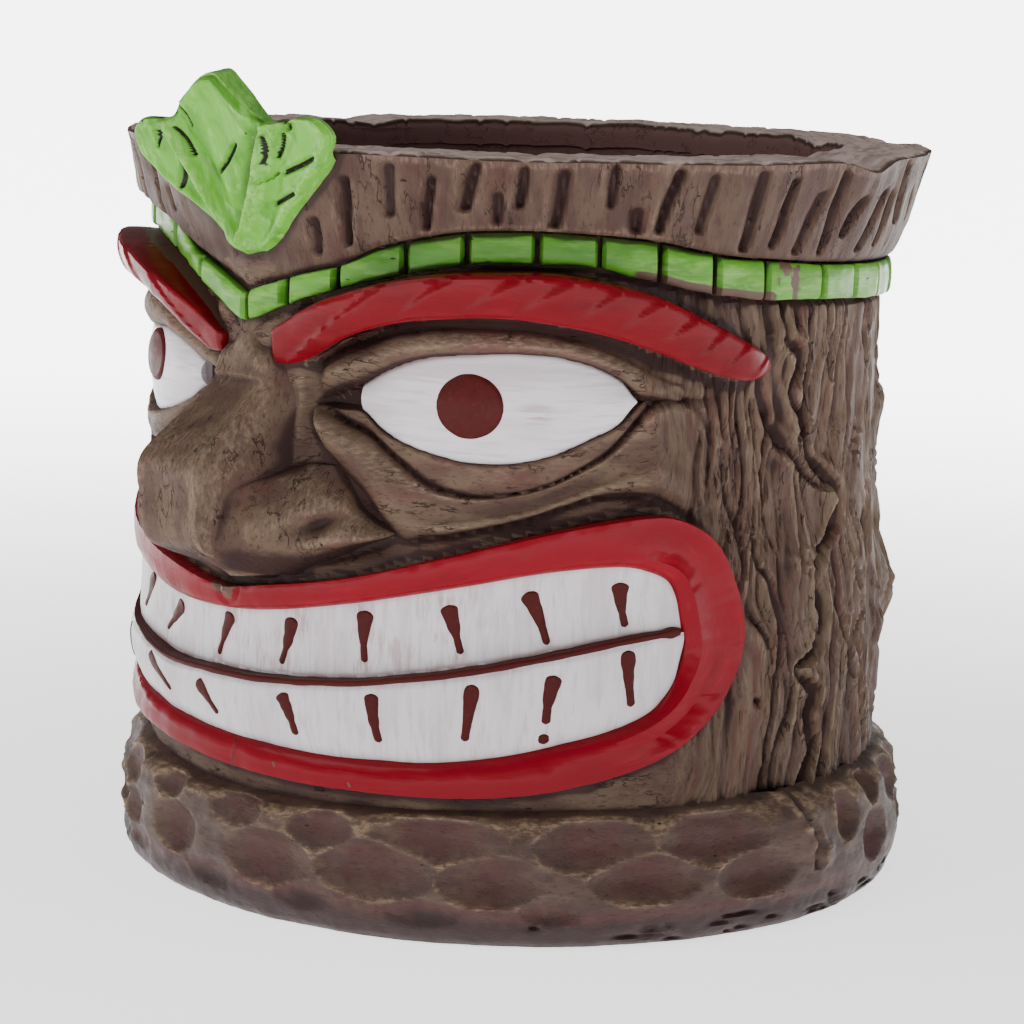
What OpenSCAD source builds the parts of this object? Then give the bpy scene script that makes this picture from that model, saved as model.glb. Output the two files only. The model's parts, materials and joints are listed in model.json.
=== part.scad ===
// A tiki mug: a hollow trunk with a carved face, built up from separate relief pieces.
// Front is -Y, the rim is up, and the origin is on the cup's axis at table height.
// Places on the wall are given as [angle, height]: degrees round from the front, and mm above the table.

/* [Cup] */
// Height of the rim above the table
rim_h = 104.5; // [102:0.5:108]
// Radius of the plain trunk wall outside
trunk_r = 52; // [51:0.25:52.5]
// Radius of the drinking bore
bore_r = 44.8; // [40:0.2:46]
// Thickness of the floor under the bore
floor_t = 8; // [5:0.5:12]

/* [Crown collar] */
// Radius of the flared collar at the rim
collar_r = 58; // [57:0.25:60]
// How far the front of the collar and headband comes forward as a keel
keel_out = 2.6; // [1:0.1:4]

/* [Headband] */
// Number of separate blocks in the headband
band_blocks = 38; // [30:2:44]
// Height of the blocks
band_h = 4.3; // [3.5:0.1:5]
// How far the blocks stand out of the trunk
band_out = 1.5; // [1:0.1:2.5]
// Gap between two blocks, in degrees
band_gap = 0.9; // [0.5:0.1:1.5]

/* [Plinth] */
// Radius of the root plinth at its widest
plinth_r = 57.8; // [56:0.1:60]
// Height of the plinth
plinth_h = 17; // [15:0.5:18]

/* [Face relief] */
// How far the lips stand out of the trunk
lip_out = 4.2; // [3:0.1:5]
// How far the teeth stand out of the trunk
teeth_out = 4.3; // [3:0.1:5]
// How far the eyeballs bulge out of the trunk
eye_out = 2.4; // [1.5:0.1:3]
// Radius of the painted pupils
pupil_r = 4.4; // [3.5:0.1:5]
// How far the brows stand out of the trunk
brow_out = 6.4; // [4:0.1:7]
// How far the eyelids stand out of the trunk
lid_out = 2.6; // [1.5:0.1:3.5]
// How far the cheeks stand out of the trunk
cheek_out = 2.8; // [1.5:0.1:3.5]
// Distance from the cup's axis to the flat end of the nose
nose_reach = 68; // [64:0.5:70]

/* [Leaf] */
// Width of the leaf across its side lobes
leaf_w = 33; // [28:1:36]
// Height of the leaf along its middle
leaf_l = 24.6; // [22:0.2:26]
// Thickness of the leaf at its thickest
leaf_t = 6; // [4:0.5:7]
// Forward lean of the leaf, in degrees
leaf_lean = 13; // [8:1:16]

/* [Hidden] */
$fn = 96;

bark = [0.40, 0.34, 0.29];
green = [0.38, 0.62, 0.22];
red = [0.72, 0.08, 0.10];
white = [0.90, 0.90, 0.91];
brown = [0.38, 0.20, 0.18];

seat = 0.05;          // glue line between a relief piece and the wall behind it
wall_r = trunk_r + seat;
step = 2.5;           // degrees between two sections of a relief piece
paint_t = 0.35;       // thickness of the dark inlays on the teeth and eyes
lid_rim = 0.3;        // gap that keeps two neighbouring pieces apart
band_top_gap = 0.3;   // gap between headband and collar

// --- Curves through a few points -------------------------------------------------------------
function last(list) = len(list) - 1;
function span(points, x) = max([for (i = [0:last(points) - 1]) if (i == 0 || x >= points[i][0]) i]);
function slope(points, i) =
    let (a = max(i - 1, 0), b = min(i + 1, last(points)))
    (points[b] - points[a]) / (points[b][0] - points[a][0]);
function hermite(p, q, m, n, t, w) =
    (2*t*t*t - 3*t*t + 1)*p + (t*t*t - 2*t*t + t)*w*m + (3*t*t - 2*t*t*t)*q + (t*t*t - t*t)*w*n;
// The smooth curve through points, whose first number rises, at x
function curve(points, x) =
    let (i = span(points, x), w = points[i + 1][0] - points[i][0])
    hermite(points[i], points[i + 1], slope(points, i), slope(points, i + 1), (x - points[i][0]) / w, w)[1];
// The same for a row of numbers each, taken at even steps of x from 0
function blend_rows(rows, x) =
    let (i = min(floor(x), last(rows) - 1), t = x - i,
         m = (rows[i + 1] - rows[max(i - 1, 0)]) / (i > 0 ? 2 : 1),
         n = (rows[min(i + 2, last(rows))] - rows[i]) / (i + 2 <= last(rows) ? 2 : 1))
    hermite(rows[i], rows[i + 1], m, n, t, 1);

// --- Solids on the wall ----------------------------------------------------------------------
function on_wall(angle, z, r) = [r * sin(angle), -r * cos(angle), z];
function keel(angle) = keel_out * pow(max(0, 1 - abs(angle) / 24), 1.3);

// A solid skinned over a list of sections, each a ring of the same number of points
module skin(sections, closed = false) {
    n = len(sections);
    m = len(sections[0]);
    wraps = closed ? n - 1 : n - 2;
    sides = [for (i = [0:wraps], j = [0:m - 1])
        let (a = i * m + j, b = i * m + (j + 1) % m, c = ((i + 1) % n) * m + (j + 1) % m,
             d = ((i + 1) % n) * m + j)
        each [[a, c, b], [a, d, c]]];
    caps = closed ? [] : [for (j = [1:m - 2]) each [[0, j, j + 1],
        [(n - 1) * m, (n - 1) * m + j + 1, (n - 1) * m + j]]];
    polyhedron([for (s = sections) each s], concat(sides, caps), convexity = 6);
}

// One section: from edge a to edge b, standing out by out(v) as v goes from 0 to 1, and back on the wall
function relief_section(a, b, out, cuts, base) = concat(
    [for (k = [0:cuts]) let (v = k / cuts, p = a + (b - a) * v) on_wall(p[0], p[1], base(p) + out(v))],
    [for (k = [cuts:-1:0]) let (v = k / cuts, p = a + (b - a) * v) on_wall(p[0], p[1], base(p))]);

function angles(from, to) = let (n = ceil((to - from) / step)) [for (i = [0:n]) from + (to - from) * i / n];
function fade(angle, from, to, run) = min(1, (angle - from) / run, (to - angle) / run);

// A strip between two curves low(angle) and high(angle); its section is a rounded hump
module strip(from, to, low, high, out, cuts = 4, base = function (p) wall_r, edge = 0.35, run = 6) {
    skin([for (a = angles(from, to))
        let (f = edge + (1 - edge) * sqrt(max(0, fade(a, from, to, run))))
        relief_section([a, low(a)], [a, high(a)],
            function (v) out * f * (edge + (1 - edge) * sin(180 * v)), cuts, base)]);
}

// --- Outlines of the face, [angle, height] from the front to one side -------------------------
brow_low = [[6, 75.8], [12, 77.0], [18, 79.9], [25, 82.2], [35, 83.6], [46, 83.0], [58, 80.2], [69, 76.8], [81, 76.2]];
brow_high = [[6, 81.6], [12, 84.0], [18, 86.0], [25, 87.8], [35, 89.3], [46, 89.4], [58, 87.3], [69, 83.2], [81, 77.2]];
eye_low = [[18, 70.0], [24, 66.8], [30, 65.0], [38, 64.2], [46, 65.4], [53, 68.0], [59.5, 72.4]];
eye_high = [[18, 73.4], [24, 76.4], [30, 78.1], [38, 79.0], [46, 78.8], [53, 77.2], [59.5, 73.2]];
lid_high = [[10, 71.4], [14, 77.2], [25, 81.2], [36, 82.9], [46, 82.4], [57, 79.4], [67, 75.4]];
lid_low = [[11, 70.0], [16, 67.6], [22, 64.2], [30, 60.3], [38, 60.2], [48, 62.2], [56, 65.8], [61, 71.4]];
cheek_low = [[21, 57.4], [25, 55.6], [33, 55.2], [45, 58.4], [58, 60.6], [68, 61.4]];
cheek_high = [[21, 63.6], [30, 59.8], [38, 59.7], [48, 61.7], [58, 66.4], [68, 70.0]];

function eye_middle(a) = (curve(eye_low, a) + curve(eye_high, a)) / 2;
// Where the two lids meet in the corners of the eye, and the eye's own edges between
function lid_seam_high(a) = a < 18 ? 70.8 + (a - 10) / 8 * 2.9 : a > 59.5 ? 73.5 + (a - 59.5) / 7.5 * 1.2
    : curve(eye_high, a) + lid_rim;
function lid_seam_low(a) = a < 18 ? 70.4 - (a - 11) / 7 * 0.7 : a > 59.5 ? 72.1
    : curve(eye_low, a) - lid_rim;

// Rows of the mouth ring from under the chin round the corner to the middle of the upper lip:
// outer angle, outer height, inner angle, inner height
mouth_rows = [[0, 19.7, 0, 24.0], [22, 19.6, 20, 23.9], [42, 20.3, 38, 25.4], [57, 23.2, 51, 28.0],
              [68, 28.0, 60.5, 31.5], [74.5, 34.5, 66, 36.5], [76.2, 42.0, 67.3, 41.5], [74, 49.5, 66, 46.0],
              [69, 55.3, 63, 49.8], [60.5, 58.0, 57, 51.2], [47, 55.9, 46, 50.4], [30, 51.4, 30, 47.0],
              [14, 47.5, 14, 43.7], [0, 45.2, 0, 41.5]];
teeth_top = [[0, 41.5], [14, 43.7], [30, 47.0], [46, 50.4], [57, 51.2], [63, 49.8], [66, 46.0]];
teeth_bottom = [[0, 24.0], [20, 23.9], [38, 25.4], [51, 28.0], [60.5, 31.5], [66, 36.5]];
bite = [[0, 32.8], [14, 33.7], [26, 35.3], [41, 38.0], [54, 40.6], [66, 42.4]];
bite_half = 0.45;     // half of the painted bite line's height

// --- Main bodies -----------------------------------------------------------------------------
module trunk_cup() {
    color(bark) difference() {
        cylinder(r = trunk_r, h = rim_h);
        translate([0, 0, floor_t]) cylinder(r = bore_r, h = rim_h);
    }
}

// The arch of the headband: low at the front, up over the brows and level behind
band_line = [[0, 83.0], [9, 86.0], [20, 89.3], [33, 92.1], [44, 92.6], [56, 91.5], [70, 88.9], [88, 87.7],
             [110, 87.2], [180, 87.2]];
function band_middle(a) = curve(band_line, abs(a));

collar_flare = [[83, 0.9], [89.3, 0.9], [91.4, 2.0], [95, 3.2], [100.8, 5.0], [rim_h, collar_r - trunk_r]];
module crown_collar() {
    rings = 6;
    color(bark) skin([for (i = [0:143])
        let (a = i * 2.5 - 180, foot = band_middle(a) + band_h / 2 + band_top_gap)
        concat([for (k = [0:rings]) let (z = foot + (rim_h - foot) * k / rings)
                on_wall(a, z, trunk_r + curve(collar_flare, z) + keel(a) * 0.8)],
               [on_wall(a, rim_h, wall_r), on_wall(a, foot, wall_r)])], closed = true);
}

module root_plinth() {
    round_r = 5;
    color(bark) rotate_extrude($fn = 128) difference() {
        union() {
            translate([0, 3]) square([plinth_r, plinth_h - 3 - round_r]);
            square([plinth_r - 1.6, 4]);
            translate([0, plinth_h - 2 * round_r]) square([plinth_r - round_r, 2 * round_r]);
            translate([plinth_r - round_r, plinth_h - round_r]) circle(r = round_r, $fn = 48);
        }
        translate([0, -1]) square([wall_r, plinth_h + 2]);
    }
}

module headband_blocks() {
    pitch = 360 / band_blocks;
    for (i = [0:band_blocks - 1])
        color(green) skin([for (k = [0:3])
            let (a = i * pitch - 180 + pitch + band_gap / 2 + (pitch - band_gap) * k / 3,
                 turn = a > 180 ? a - 360 : a, z = band_middle(turn),
                 r = wall_r + band_out + keel(turn), bevel = 0.4)
            [on_wall(a, z - band_h / 2, wall_r), on_wall(a, z - band_h / 2, r - bevel),
             on_wall(a, z - band_h / 2 + bevel, r), on_wall(a, z + band_h / 2 - bevel, r),
             on_wall(a, z + band_h / 2, r - bevel), on_wall(a, z + band_h / 2, wall_r)]]);
}

// Right half of the leaf's outline as shares of half its width and of its length, from the foot tip up
leaf_half = [[0, 0], [0.36, 0.08], [0.55, 0.20], [0.86, 0.44], [1.0, 0.66], [0.88, 0.78], [0.66, 0.80],
             [0.50, 0.76], [0.34, 0.84], [0.16, 0.97], [0, 1]];
module leaf_crest() {
    half = [for (p = leaf_half) [p[0] * leaf_w / 2, p[1] * leaf_l]];
    back = [for (i = [last(half) - 1:-1:1]) [-half[i][0], half[i][1]]];
    foot_z = 90;
    foot_y = -(trunk_r + 0.5);
    color(green) difference() {
        translate([0, foot_y, foot_z]) rotate([90 + leaf_lean, 0, 0])
            linear_extrude(leaf_t) polygon(concat(half, back));
        rotate_extrude($fn = 128) polygon(concat(
            [[0, 60], [trunk_r + 0.9 + keel_out, 60]],
            [for (z = [84:3.4:rim_h + 0.1]) [trunk_r + curve(collar_flare, min(z, rim_h)) + keel_out * 0.8 + seat, z]],
            [[collar_r + keel_out * 0.8 + seat, rim_h], [0, rim_h]]));
    }
}

// --- The face --------------------------------------------------------------------------------
module brow_right() {
    color(red) strip(6, 81, function (a) curve(brow_low, a), function (a) curve(brow_high, a),
        brow_out, edge = 0.45, run = 14);
}
module brow_left() { mirror([1, 0, 0]) brow_right(); }

module upper_eyelid_right() {
    color(bark) strip(10.5, 66.5, function (a) lid_seam_high(a), function (a) curve(lid_high, a), lid_out);
}
module upper_eyelid_left() { mirror([1, 0, 0]) upper_eyelid_right(); }

module lower_eyelid_right() {
    color(bark) strip(11.5, 60.8, function (a) curve(lid_low, a), function (a) lid_seam_low(a), lid_out);
}
module lower_eyelid_left() { mirror([1, 0, 0]) lower_eyelid_right(); }

// How far the eyeball stands out at a point of the wall
function eye_bulge(p) =
    let (a = min(59.4, max(18.1, p[0])), h = (curve(eye_high, a) - curve(eye_low, a)) / 2,
         v = min(1, abs(p[1] - eye_middle(a)) / h), u = (a - 38.5) / 24)
    eye_out * (0.25 + 0.75 * (1 - v * v) * (1 - u * u));
module eyeball_right() {
    color(white) skin([for (a = angles(18, 59.5))
        let (low = curve(eye_low, a), high = curve(eye_high, a), cuts = 6)
        concat([for (k = [0:cuts]) let (z = low + (high - low) * k / cuts) on_wall(a, z, wall_r + eye_bulge([a, z]))],
               [on_wall(a, high, wall_r), on_wall(a, low, wall_r)])]);
}
module eyeball_left() { mirror([1, 0, 0]) eyeball_right(); }

pupil_at = [35.3, 71.9];
module pupil_right() {
    turn = pupil_r / trunk_r * 180 / PI;
    face = function (p) wall_r + eye_bulge(p) + 0.12;
    color(brown) skin([for (k = [-6:6])
        let (s = k / 6 * 0.98, a = pupil_at[0] + s * turn, h = pupil_r * sqrt(1 - s * s))
        relief_section([a, pupil_at[1] - h], [a, pupil_at[1] + h], function (v) paint_t, 6, face)]);
}
module pupil_left() { mirror([1, 0, 0]) pupil_right(); }

module cheek_right() {
    color(bark) strip(21.5, 67.5, function (a) curve(cheek_low, a), function (a) curve(cheek_high, a), cheek_out);
}
module cheek_left() { mirror([1, 0, 0]) cheek_right(); }

// Rows of the nose from under its end to between the brows:
// height, half angle on the wall, half width of the flat front, distance of the front from the axis
nose_rows = [[48.0, 9.5, 3.0, 57.5], [50.5, 9.8, 5.0, nose_reach - 4], [53.5, 9.8, 5.6, nose_reach],
             [58.5, 9.8, 5.6, nose_reach + 0.3], [63.5, 9.6, 5.4, nose_reach], [68, 9.2, 5.0, nose_reach - 5],
             [72, 8.4, 4.4, nose_reach - 9], [76, 6.6, 3.8, 57.6], [80, 4.6, 3.0, 56.6], [82, 3.2, 1.4, 55.2]];
module nose_bridge() {
    color(bark) skin([for (row = nose_rows)
        let (z = row[0], w = row[1], f = row[2], y = row[3],
             left = on_wall(-w, z, wall_r + 0.2), right = on_wall(w, z, wall_r + 0.2))
        concat([left, (left + [-f, -y, z]) / 2 + [-0.8, 0, 0], [-f, -y, z], [f, -y, z],
                (right + [f, -y, z]) / 2 + [0.8, 0, 0], right],
               [for (k = [4:-1:-4]) on_wall(w * k / 4, z, wall_r)])]);
}

wing_low = [[10.3, 50.0], [15, 50.3], [20, 51.6], [24.5, 53.6]];
wing_high = [[10.3, 61.6], [15, 59.2], [20, 56.6], [24.5, 54.6]];
module nose_wing_right() {
    color(bark) skin([for (a = angles(10.3, 24.5))
        let (f = (24.5 - a) / 14.2)
        relief_section([a, curve(wing_low, a)], [a, curve(wing_high, a)],
            function (v) 0.5 + (1.6 + 5.5 * f) * sin(180 * v), 4, function (p) wall_r)]);
}
module nose_wing_left() { mirror([1, 0, 0]) nose_wing_right(); }

module lips() {
    per_row = 3;
    n = last(mouth_rows) * per_row;
    half = [for (i = [0:n]) blend_rows(mouth_rows, i / per_row)];
    ring = concat(half, [for (i = [n - 1:-1:1]) [-half[i][0], half[i][1], -half[i][2], half[i][3]]]);
    color(red) skin([for (r = ring)
        relief_section([r[0], r[1]], [r[2], r[3]],
            function (v) lip_out * (0.55 + 0.45 * sin(180 * min(1, v * 1.1))), 4, function (p) wall_r)],
        closed = true);
}

tooth_rim = 0.2;      // keeps the teeth clear of the lips around them
module teeth_row(low, high, out) {
    end = 65;
    color(white) skin([for (a = angles(-end, end))
        relief_section([a, low(abs(a))], [a, high(abs(a))],
            function (v) out * (0.92 + 0.08 * sin(180 * v)), 4, function (p) wall_r)]);
}
module upper_teeth() {
    teeth_row(function (a) curve(bite, a) + bite_half, function (a) curve(teeth_top, a) - tooth_rim, teeth_out);
}
module lower_teeth() {
    teeth_row(function (a) curve(teeth_bottom, a) + tooth_rim, function (a) curve(bite, a) - bite_half,
        teeth_out - 0.6);
}
module bite_line() {
    color(brown) skin([for (a = angles(-65, 65))
        relief_section([a, curve(bite, abs(a)) - bite_half + 0.05], [a, curve(bite, abs(a)) + bite_half - 0.05],
            function (v) teeth_out - 0.7, 1, function (p) wall_r)]);
}

// A drop-shaped inlay from its fat end to its thin end, lying on the teeth
module tooth_gap(top, foot, out) {
    fat = 0.75;
    thin = 0.3;
    color(brown) skin([for (k = [0:4])
        let (t = k / 4, p = top + (foot - top) * t, w = (fat + (thin - fat) * t) / trunk_r * 180 / PI)
        [on_wall(p[0] - w, p[1], wall_r + out), on_wall(p[0] - w, p[1], wall_r + out + paint_t),
         on_wall(p[0] + w, p[1], wall_r + out + paint_t), on_wall(p[0] + w, p[1], wall_r + out)]]);
}
upper_gap_turns = [9, 21, 33, 44.5, 57];
lower_gap_turns = [9.5, 23, 36.5, 48, 58.5];
module upper_tooth_gaps() {
    for (side = [-1, 1], a = concat(upper_gap_turns, side > 0 ? [-1] : []))
        tooth_gap([side * a, curve(teeth_top, abs(a)) - 1.4], [side * a * 1.02, curve(bite, abs(a)) + 1.4],
            teeth_out + 0.02);
}
module lower_tooth_gaps() {
    for (side = [-1, 1], a = concat(lower_gap_turns, side > 0 ? [0] : []))
        tooth_gap([side * a, curve(bite, abs(a)) - 1.2], [side * a * 1.01, curve(teeth_bottom, abs(a)) + 2.2],
            teeth_out - 0.58);
}

trunk_cup();
crown_collar();
root_plinth();
headband_blocks();
leaf_crest();
brow_left();
brow_right();
upper_eyelid_left();
upper_eyelid_right();
lower_eyelid_left();
lower_eyelid_right();
eyeball_left();
eyeball_right();
pupil_left();
pupil_right();
cheek_left();
cheek_right();
nose_bridge();
nose_wing_left();
nose_wing_right();
lips();
upper_teeth();
lower_teeth();
upper_tooth_gaps();
lower_tooth_gaps();
bite_line();
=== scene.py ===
"""The looks of a tiki mug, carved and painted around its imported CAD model.

Lengths are millimetres until a mesh is made, and places on the wall are (angle, height): degrees
round from the front (-Y) towards +X, and millimetres above the table.
"""
import json
import math

import bpy
import numpy as np
from mathutils import Matrix, Vector


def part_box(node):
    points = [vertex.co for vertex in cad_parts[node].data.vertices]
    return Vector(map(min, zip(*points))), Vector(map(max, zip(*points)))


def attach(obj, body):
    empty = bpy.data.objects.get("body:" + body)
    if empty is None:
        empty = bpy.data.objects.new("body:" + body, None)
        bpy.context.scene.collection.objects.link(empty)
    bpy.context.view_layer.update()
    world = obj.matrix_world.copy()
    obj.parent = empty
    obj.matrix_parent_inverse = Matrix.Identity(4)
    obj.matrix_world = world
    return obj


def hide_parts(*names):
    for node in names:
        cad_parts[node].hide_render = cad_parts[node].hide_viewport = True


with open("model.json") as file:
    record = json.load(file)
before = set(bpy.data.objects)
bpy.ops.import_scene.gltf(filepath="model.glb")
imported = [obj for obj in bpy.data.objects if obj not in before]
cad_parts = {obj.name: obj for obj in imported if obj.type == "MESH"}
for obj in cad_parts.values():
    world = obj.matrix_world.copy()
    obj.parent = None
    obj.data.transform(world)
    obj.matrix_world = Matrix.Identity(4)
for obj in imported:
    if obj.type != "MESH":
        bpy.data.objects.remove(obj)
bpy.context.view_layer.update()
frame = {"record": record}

MM = 0.001


def node_top(node):
    """The height of a CAD node's top, in mm."""
    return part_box(node)[1].z / MM


def node_reach(node):
    """How far a CAD node reaches to the right of the axis, in mm."""
    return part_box(node)[1].x / MM


def mount(name):
    return next(m for m in frame["record"]["mounts"] if m["name"] == name)


RIM_Z = node_top("trunk_cup")
TRUNK_R = node_reach("trunk_cup")
COLLAR_R = node_reach("crown_collar")
PLINTH_R = node_reach("root_plinth")
BORE_R = mount("cup_bore")["dims"]["r_mm"]
FLOOR_Z = RIM_Z - mount("cup_bore")["dims"]["length_mm"]

# --- Numbers along curves -------------------------------------------------------------------------


def curve(points, x):
    """The smooth curve through points, whose first number rises, at x."""
    p = np.asarray(points, float)
    xs, ys = p[:, 0], p[:, 1:]
    x = np.clip(np.asarray(x, float), xs[0], xs[-1])
    i = np.clip(np.searchsorted(xs, x, side="right") - 1, 0, len(xs) - 2)
    slopes = np.gradient(ys, xs, axis=0)
    w = (xs[i + 1] - xs[i])[..., None]
    t = (x - xs[i])[..., None] / w
    out = ((2 * t**3 - 3 * t**2 + 1) * ys[i] + (t**3 - 2 * t**2 + t) * w * slopes[i]
           + (3 * t**2 - 2 * t**3) * ys[i + 1] + (t**3 - t**2) * w * slopes[i + 1])
    return out[..., 0] if ys.shape[1] == 1 else out


def path(points, count):
    """count places at even steps along the smooth curve through points, which may turn back."""
    p = np.asarray(points, float)
    run = np.concatenate([[0], np.cumsum(np.linalg.norm(np.diff(p[:, :2], axis=0), axis=1))])
    return curve(np.column_stack([run, p]), np.linspace(0, run[-1], count))


def step(x, low, high):
    """0 below low, 1 above high and smooth between; low may be the larger."""
    t = np.clip((np.asarray(x, float) - low) / (high - low), 0, 1)
    return t * t * (3 - 2 * t)


def bell(x, width):
    """1 at 0, and falling off smoothly to both sides over width."""
    return np.exp(-(np.asarray(x, float) / width) ** 2)


def noise(p, seed=0):
    """Smooth noise from about -1 to 1 at points p, with features about one unit across."""
    p = np.asarray(p, float)
    cell = np.floor(p).astype(np.int64)
    f = p - cell
    u = f * f * f * (f * (f * 6 - 15) + 10)
    total = np.zeros(p.shape[:-1])
    for corner in np.ndindex(2, 2, 2):
        q = (cell + corner).astype(np.uint32)
        h = q[..., 0] * np.uint32(374761393) + q[..., 1] * np.uint32(668265263)
        h = h + q[..., 2] * np.uint32(2246822519) + np.uint32(seed * 3266489917 % 2**32)
        h = (h ^ (h >> np.uint32(13))) * np.uint32(1274126177)
        h = h ^ (h >> np.uint32(16))
        weight = np.ones_like(total)
        push = np.zeros_like(total)
        for axis in range(3):
            slope = ((h >> np.uint32(10 * axis)) & np.uint32(1023)) / 511.5 - 1
            push += slope * (f[..., axis] - corner[axis])
            weight *= u[..., axis] if corner[axis] else 1 - u[..., axis]
        total += weight * push
    return total * 1.3


def layers(p, seed=0, count=3):
    """Noise with finer and weaker layers on top."""
    return sum(noise(p * 2**k, seed + 17 * k) / 2**k for k in range(count))


def on_wall(a, z, r):
    """Points at angle a, height z and radius r."""
    a, z, r = np.broadcast_arrays(a, z, r)
    t = np.radians(a)
    return np.stack([r * np.sin(t), -r * np.cos(t), z], axis=-1)


def grain(a, z, across, along, shift=0.0):
    """Points for noise that is drawn out up the trunk: across and along are feature sizes in mm."""
    return on_wall(a, z, TRUNK_R) / (across, across, along) + shift


def degrees_to_mm(a):
    """The length along the trunk's wall of an angle."""
    return np.radians(a) * TRUNK_R


# --- The carved wall ------------------------------------------------------------------------------

GIRTH = [
    (0, 53.2), (17, 53.5), (32, 53.8), (42, 53.7), (50, 52.9), (58, 52.1), (68, 51.7), (92, 51.5),
    (112, 51.5),
]
KEEL_OUT, KEEL_TURN = 3.2, 24
SOCKET_AT, SOCKET_DEEP = (15.0, 71.0), 2.2


def wall_r(a, z):
    """Radius of the trunk with no bark: a slight belly, a keel up the forehead and two eye sockets."""
    keel = KEEL_OUT * np.clip(1 - abs(a) / KEEL_TURN, 0, 1) ** 1.3 * step(z, 46, 62)
    socket = SOCKET_DEEP * bell(abs(a) - SOCKET_AT[0], 8) * bell(z - SOCKET_AT[1], 7)
    return curve(GIRTH, z) + keel - socket


# Cracks and gouges in the bark: places along them, then half width, depth
SEAM = [
    (85.5, 88), (85.3, 84), (86.2, 80), (89.6, 78), (87.9, 72.5), (90.4, 68.4), (93, 63.8), (97.3, 60.8),
    (99.8, 58.5), (98.7, 52.6), (94.5, 49.5), (92.9, 46.9), (94.7, 42.4), (93.6, 39.1), (92.4, 36.7),
    (88.6, 35.0), (91.4, 32.3), (93.5, 31), (92.7, 27.6), (93.7, 23.1), (90.5, 17),
]
BACK_SEAM = [
    (-91, 88), (-93, 80), (-89, 70), (-92, 61), (-88, 52), (-93, 43), (-90, 33), (-94, 25), (-91, 17),
]
GOUGES = [
    (SEAM, 0.75, 1.5), (BACK_SEAM, 0.8, 1.4), ([(81.2, 76.5), (81.6, 73), (82.6, 70.4), (83.9, 67.9),
    (86, 65.8), (87.4, 64.8)], 0.75, 1.2), ([(87.6, 64.2), (90.4, 62.2), (97, 59.1)], 0.5, 0.9),
    ([(79.7, 72), (79.9, 67.7), (80.7, 64.2), (81.8, 59.7), (82.4, 56.7), (84.2, 51.7)], 0.3, 0.5),
    ([(79.6, 53.9), (80.8, 49.9), (82.7, 48), (83.9, 44.2), (84.7, 40.2), (84, 31.3), (83.2, 22.7)], 0.4,
    0.8), ([(96.4, 50.5), (97.9, 46), (100.1, 41.7), (103.1, 36.7), (106.7, 31.4)], 0.55, 1.0),
    ([(105, 48.6), (108, 44.1), (110.3, 41.2), (106.6, 37.1), (108.9, 33.1), (109.6, 25)], 0.45, 0.9),
    ([(91.5, 86), (92, 79), (90.8, 72), (91.5, 66)], 0.35, 0.7), ([(97, 86), (97.5, 79), (98.5, 74)],
    0.35, 0.6), ([(74, 66), (74.5, 60), (77, 54), (78, 49)], 0.45, 0.7), ([(70, 68), (69, 62), (70, 58)],
    0.4, 0.5), ([(65, 74), (70, 70.5), (72, 67)], 0.4, 0.4),
]
# Lumps and hollows: place, half sizes in mm, height
LUMPS = [
    (126, 68, 3.4, 3.2, 1.5), (125, 42, 4.0, 4.5, 2.0), (117, 36.5, 2.5, 2.5, 1.2),
    (85, 80.5, 3.0, 3.0, 0.8), (85, 55, 2.2, 4.0, -0.9), (98.5, 57.5, 2.0, 2.5, 1.3),
    (88, 50.5, 3.0, 4.5, 1.1), (97, 64, 2.2, 4.0, -0.8), (89, 42, 3.0, 6.0, 0.9),
    (80.9, 31.3, 0.8, 0.6, -1.1), (99.5, 53.4, 0.9, 0.7, -1.4), (93, 82, 2.5, 5.0, 0.6),
    (-100, 72, 3.5, 4.0, 1.4), (-120, 45, 4.0, 5.0, 1.6), (160, 60, 5.0, 6.0, 1.2),
    (-160, 35, 5.0, 4.0, 1.3), (178, 78, 3.0, 4.0, 1.0), (-75, 30, 3.0, 4.0, 0.8),
    (-140, 74, 3.0, 3.0, -0.8), (145, 30, 3.0, 2.0, -0.8),
]
KNOTS = [
    (84.5, 80.5, 2.6), (90, 49.5, 2.8), (91, 33, 2.2), (91.5, 67.5, 2.4), (-91, 66, 2.6), (-90, 38, 2.4),
]


def near_path(a, z, points, reach):
    """Distance in mm from each place to a line on the wall, or reach where it's further than that."""
    line = path(points, 10 * len(points))
    lx, lz = degrees_to_mm(line[:, 0]), line[:, 1]
    x, y = degrees_to_mm(a), z
    best = np.full(x.shape, float(reach))
    inside = (x > lx.min() - reach) & (x < lx.max() + reach)
    inside = inside & (y > lz.min() - reach) & (y < lz.max() + reach)
    px, py = x[inside][:, None], y[inside][:, None]
    if px.size:
        sx, sz = np.diff(lx), np.diff(lz)
        t = ((px - lx[:-1]) * sx + (py - lz[:-1]) * sz) / (sx * sx + sz * sz + 1e-9)
        t = np.clip(t, 0, 1)
        best[inside] = np.minimum(reach, np.hypot(px - lx[:-1] - t * sx, py - lz[:-1] - t * sz).min(axis=1))
    return best


def bark_share(a, z):
    """0 on the smooth face and 1 on the rough bark behind it."""
    edge = 66 + 3 * noise(grain(a, z, 9, 9, 3.3)) + 5 * step(z, 56, 40)
    return step(abs(a), edge - 5, edge + 6)


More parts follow.
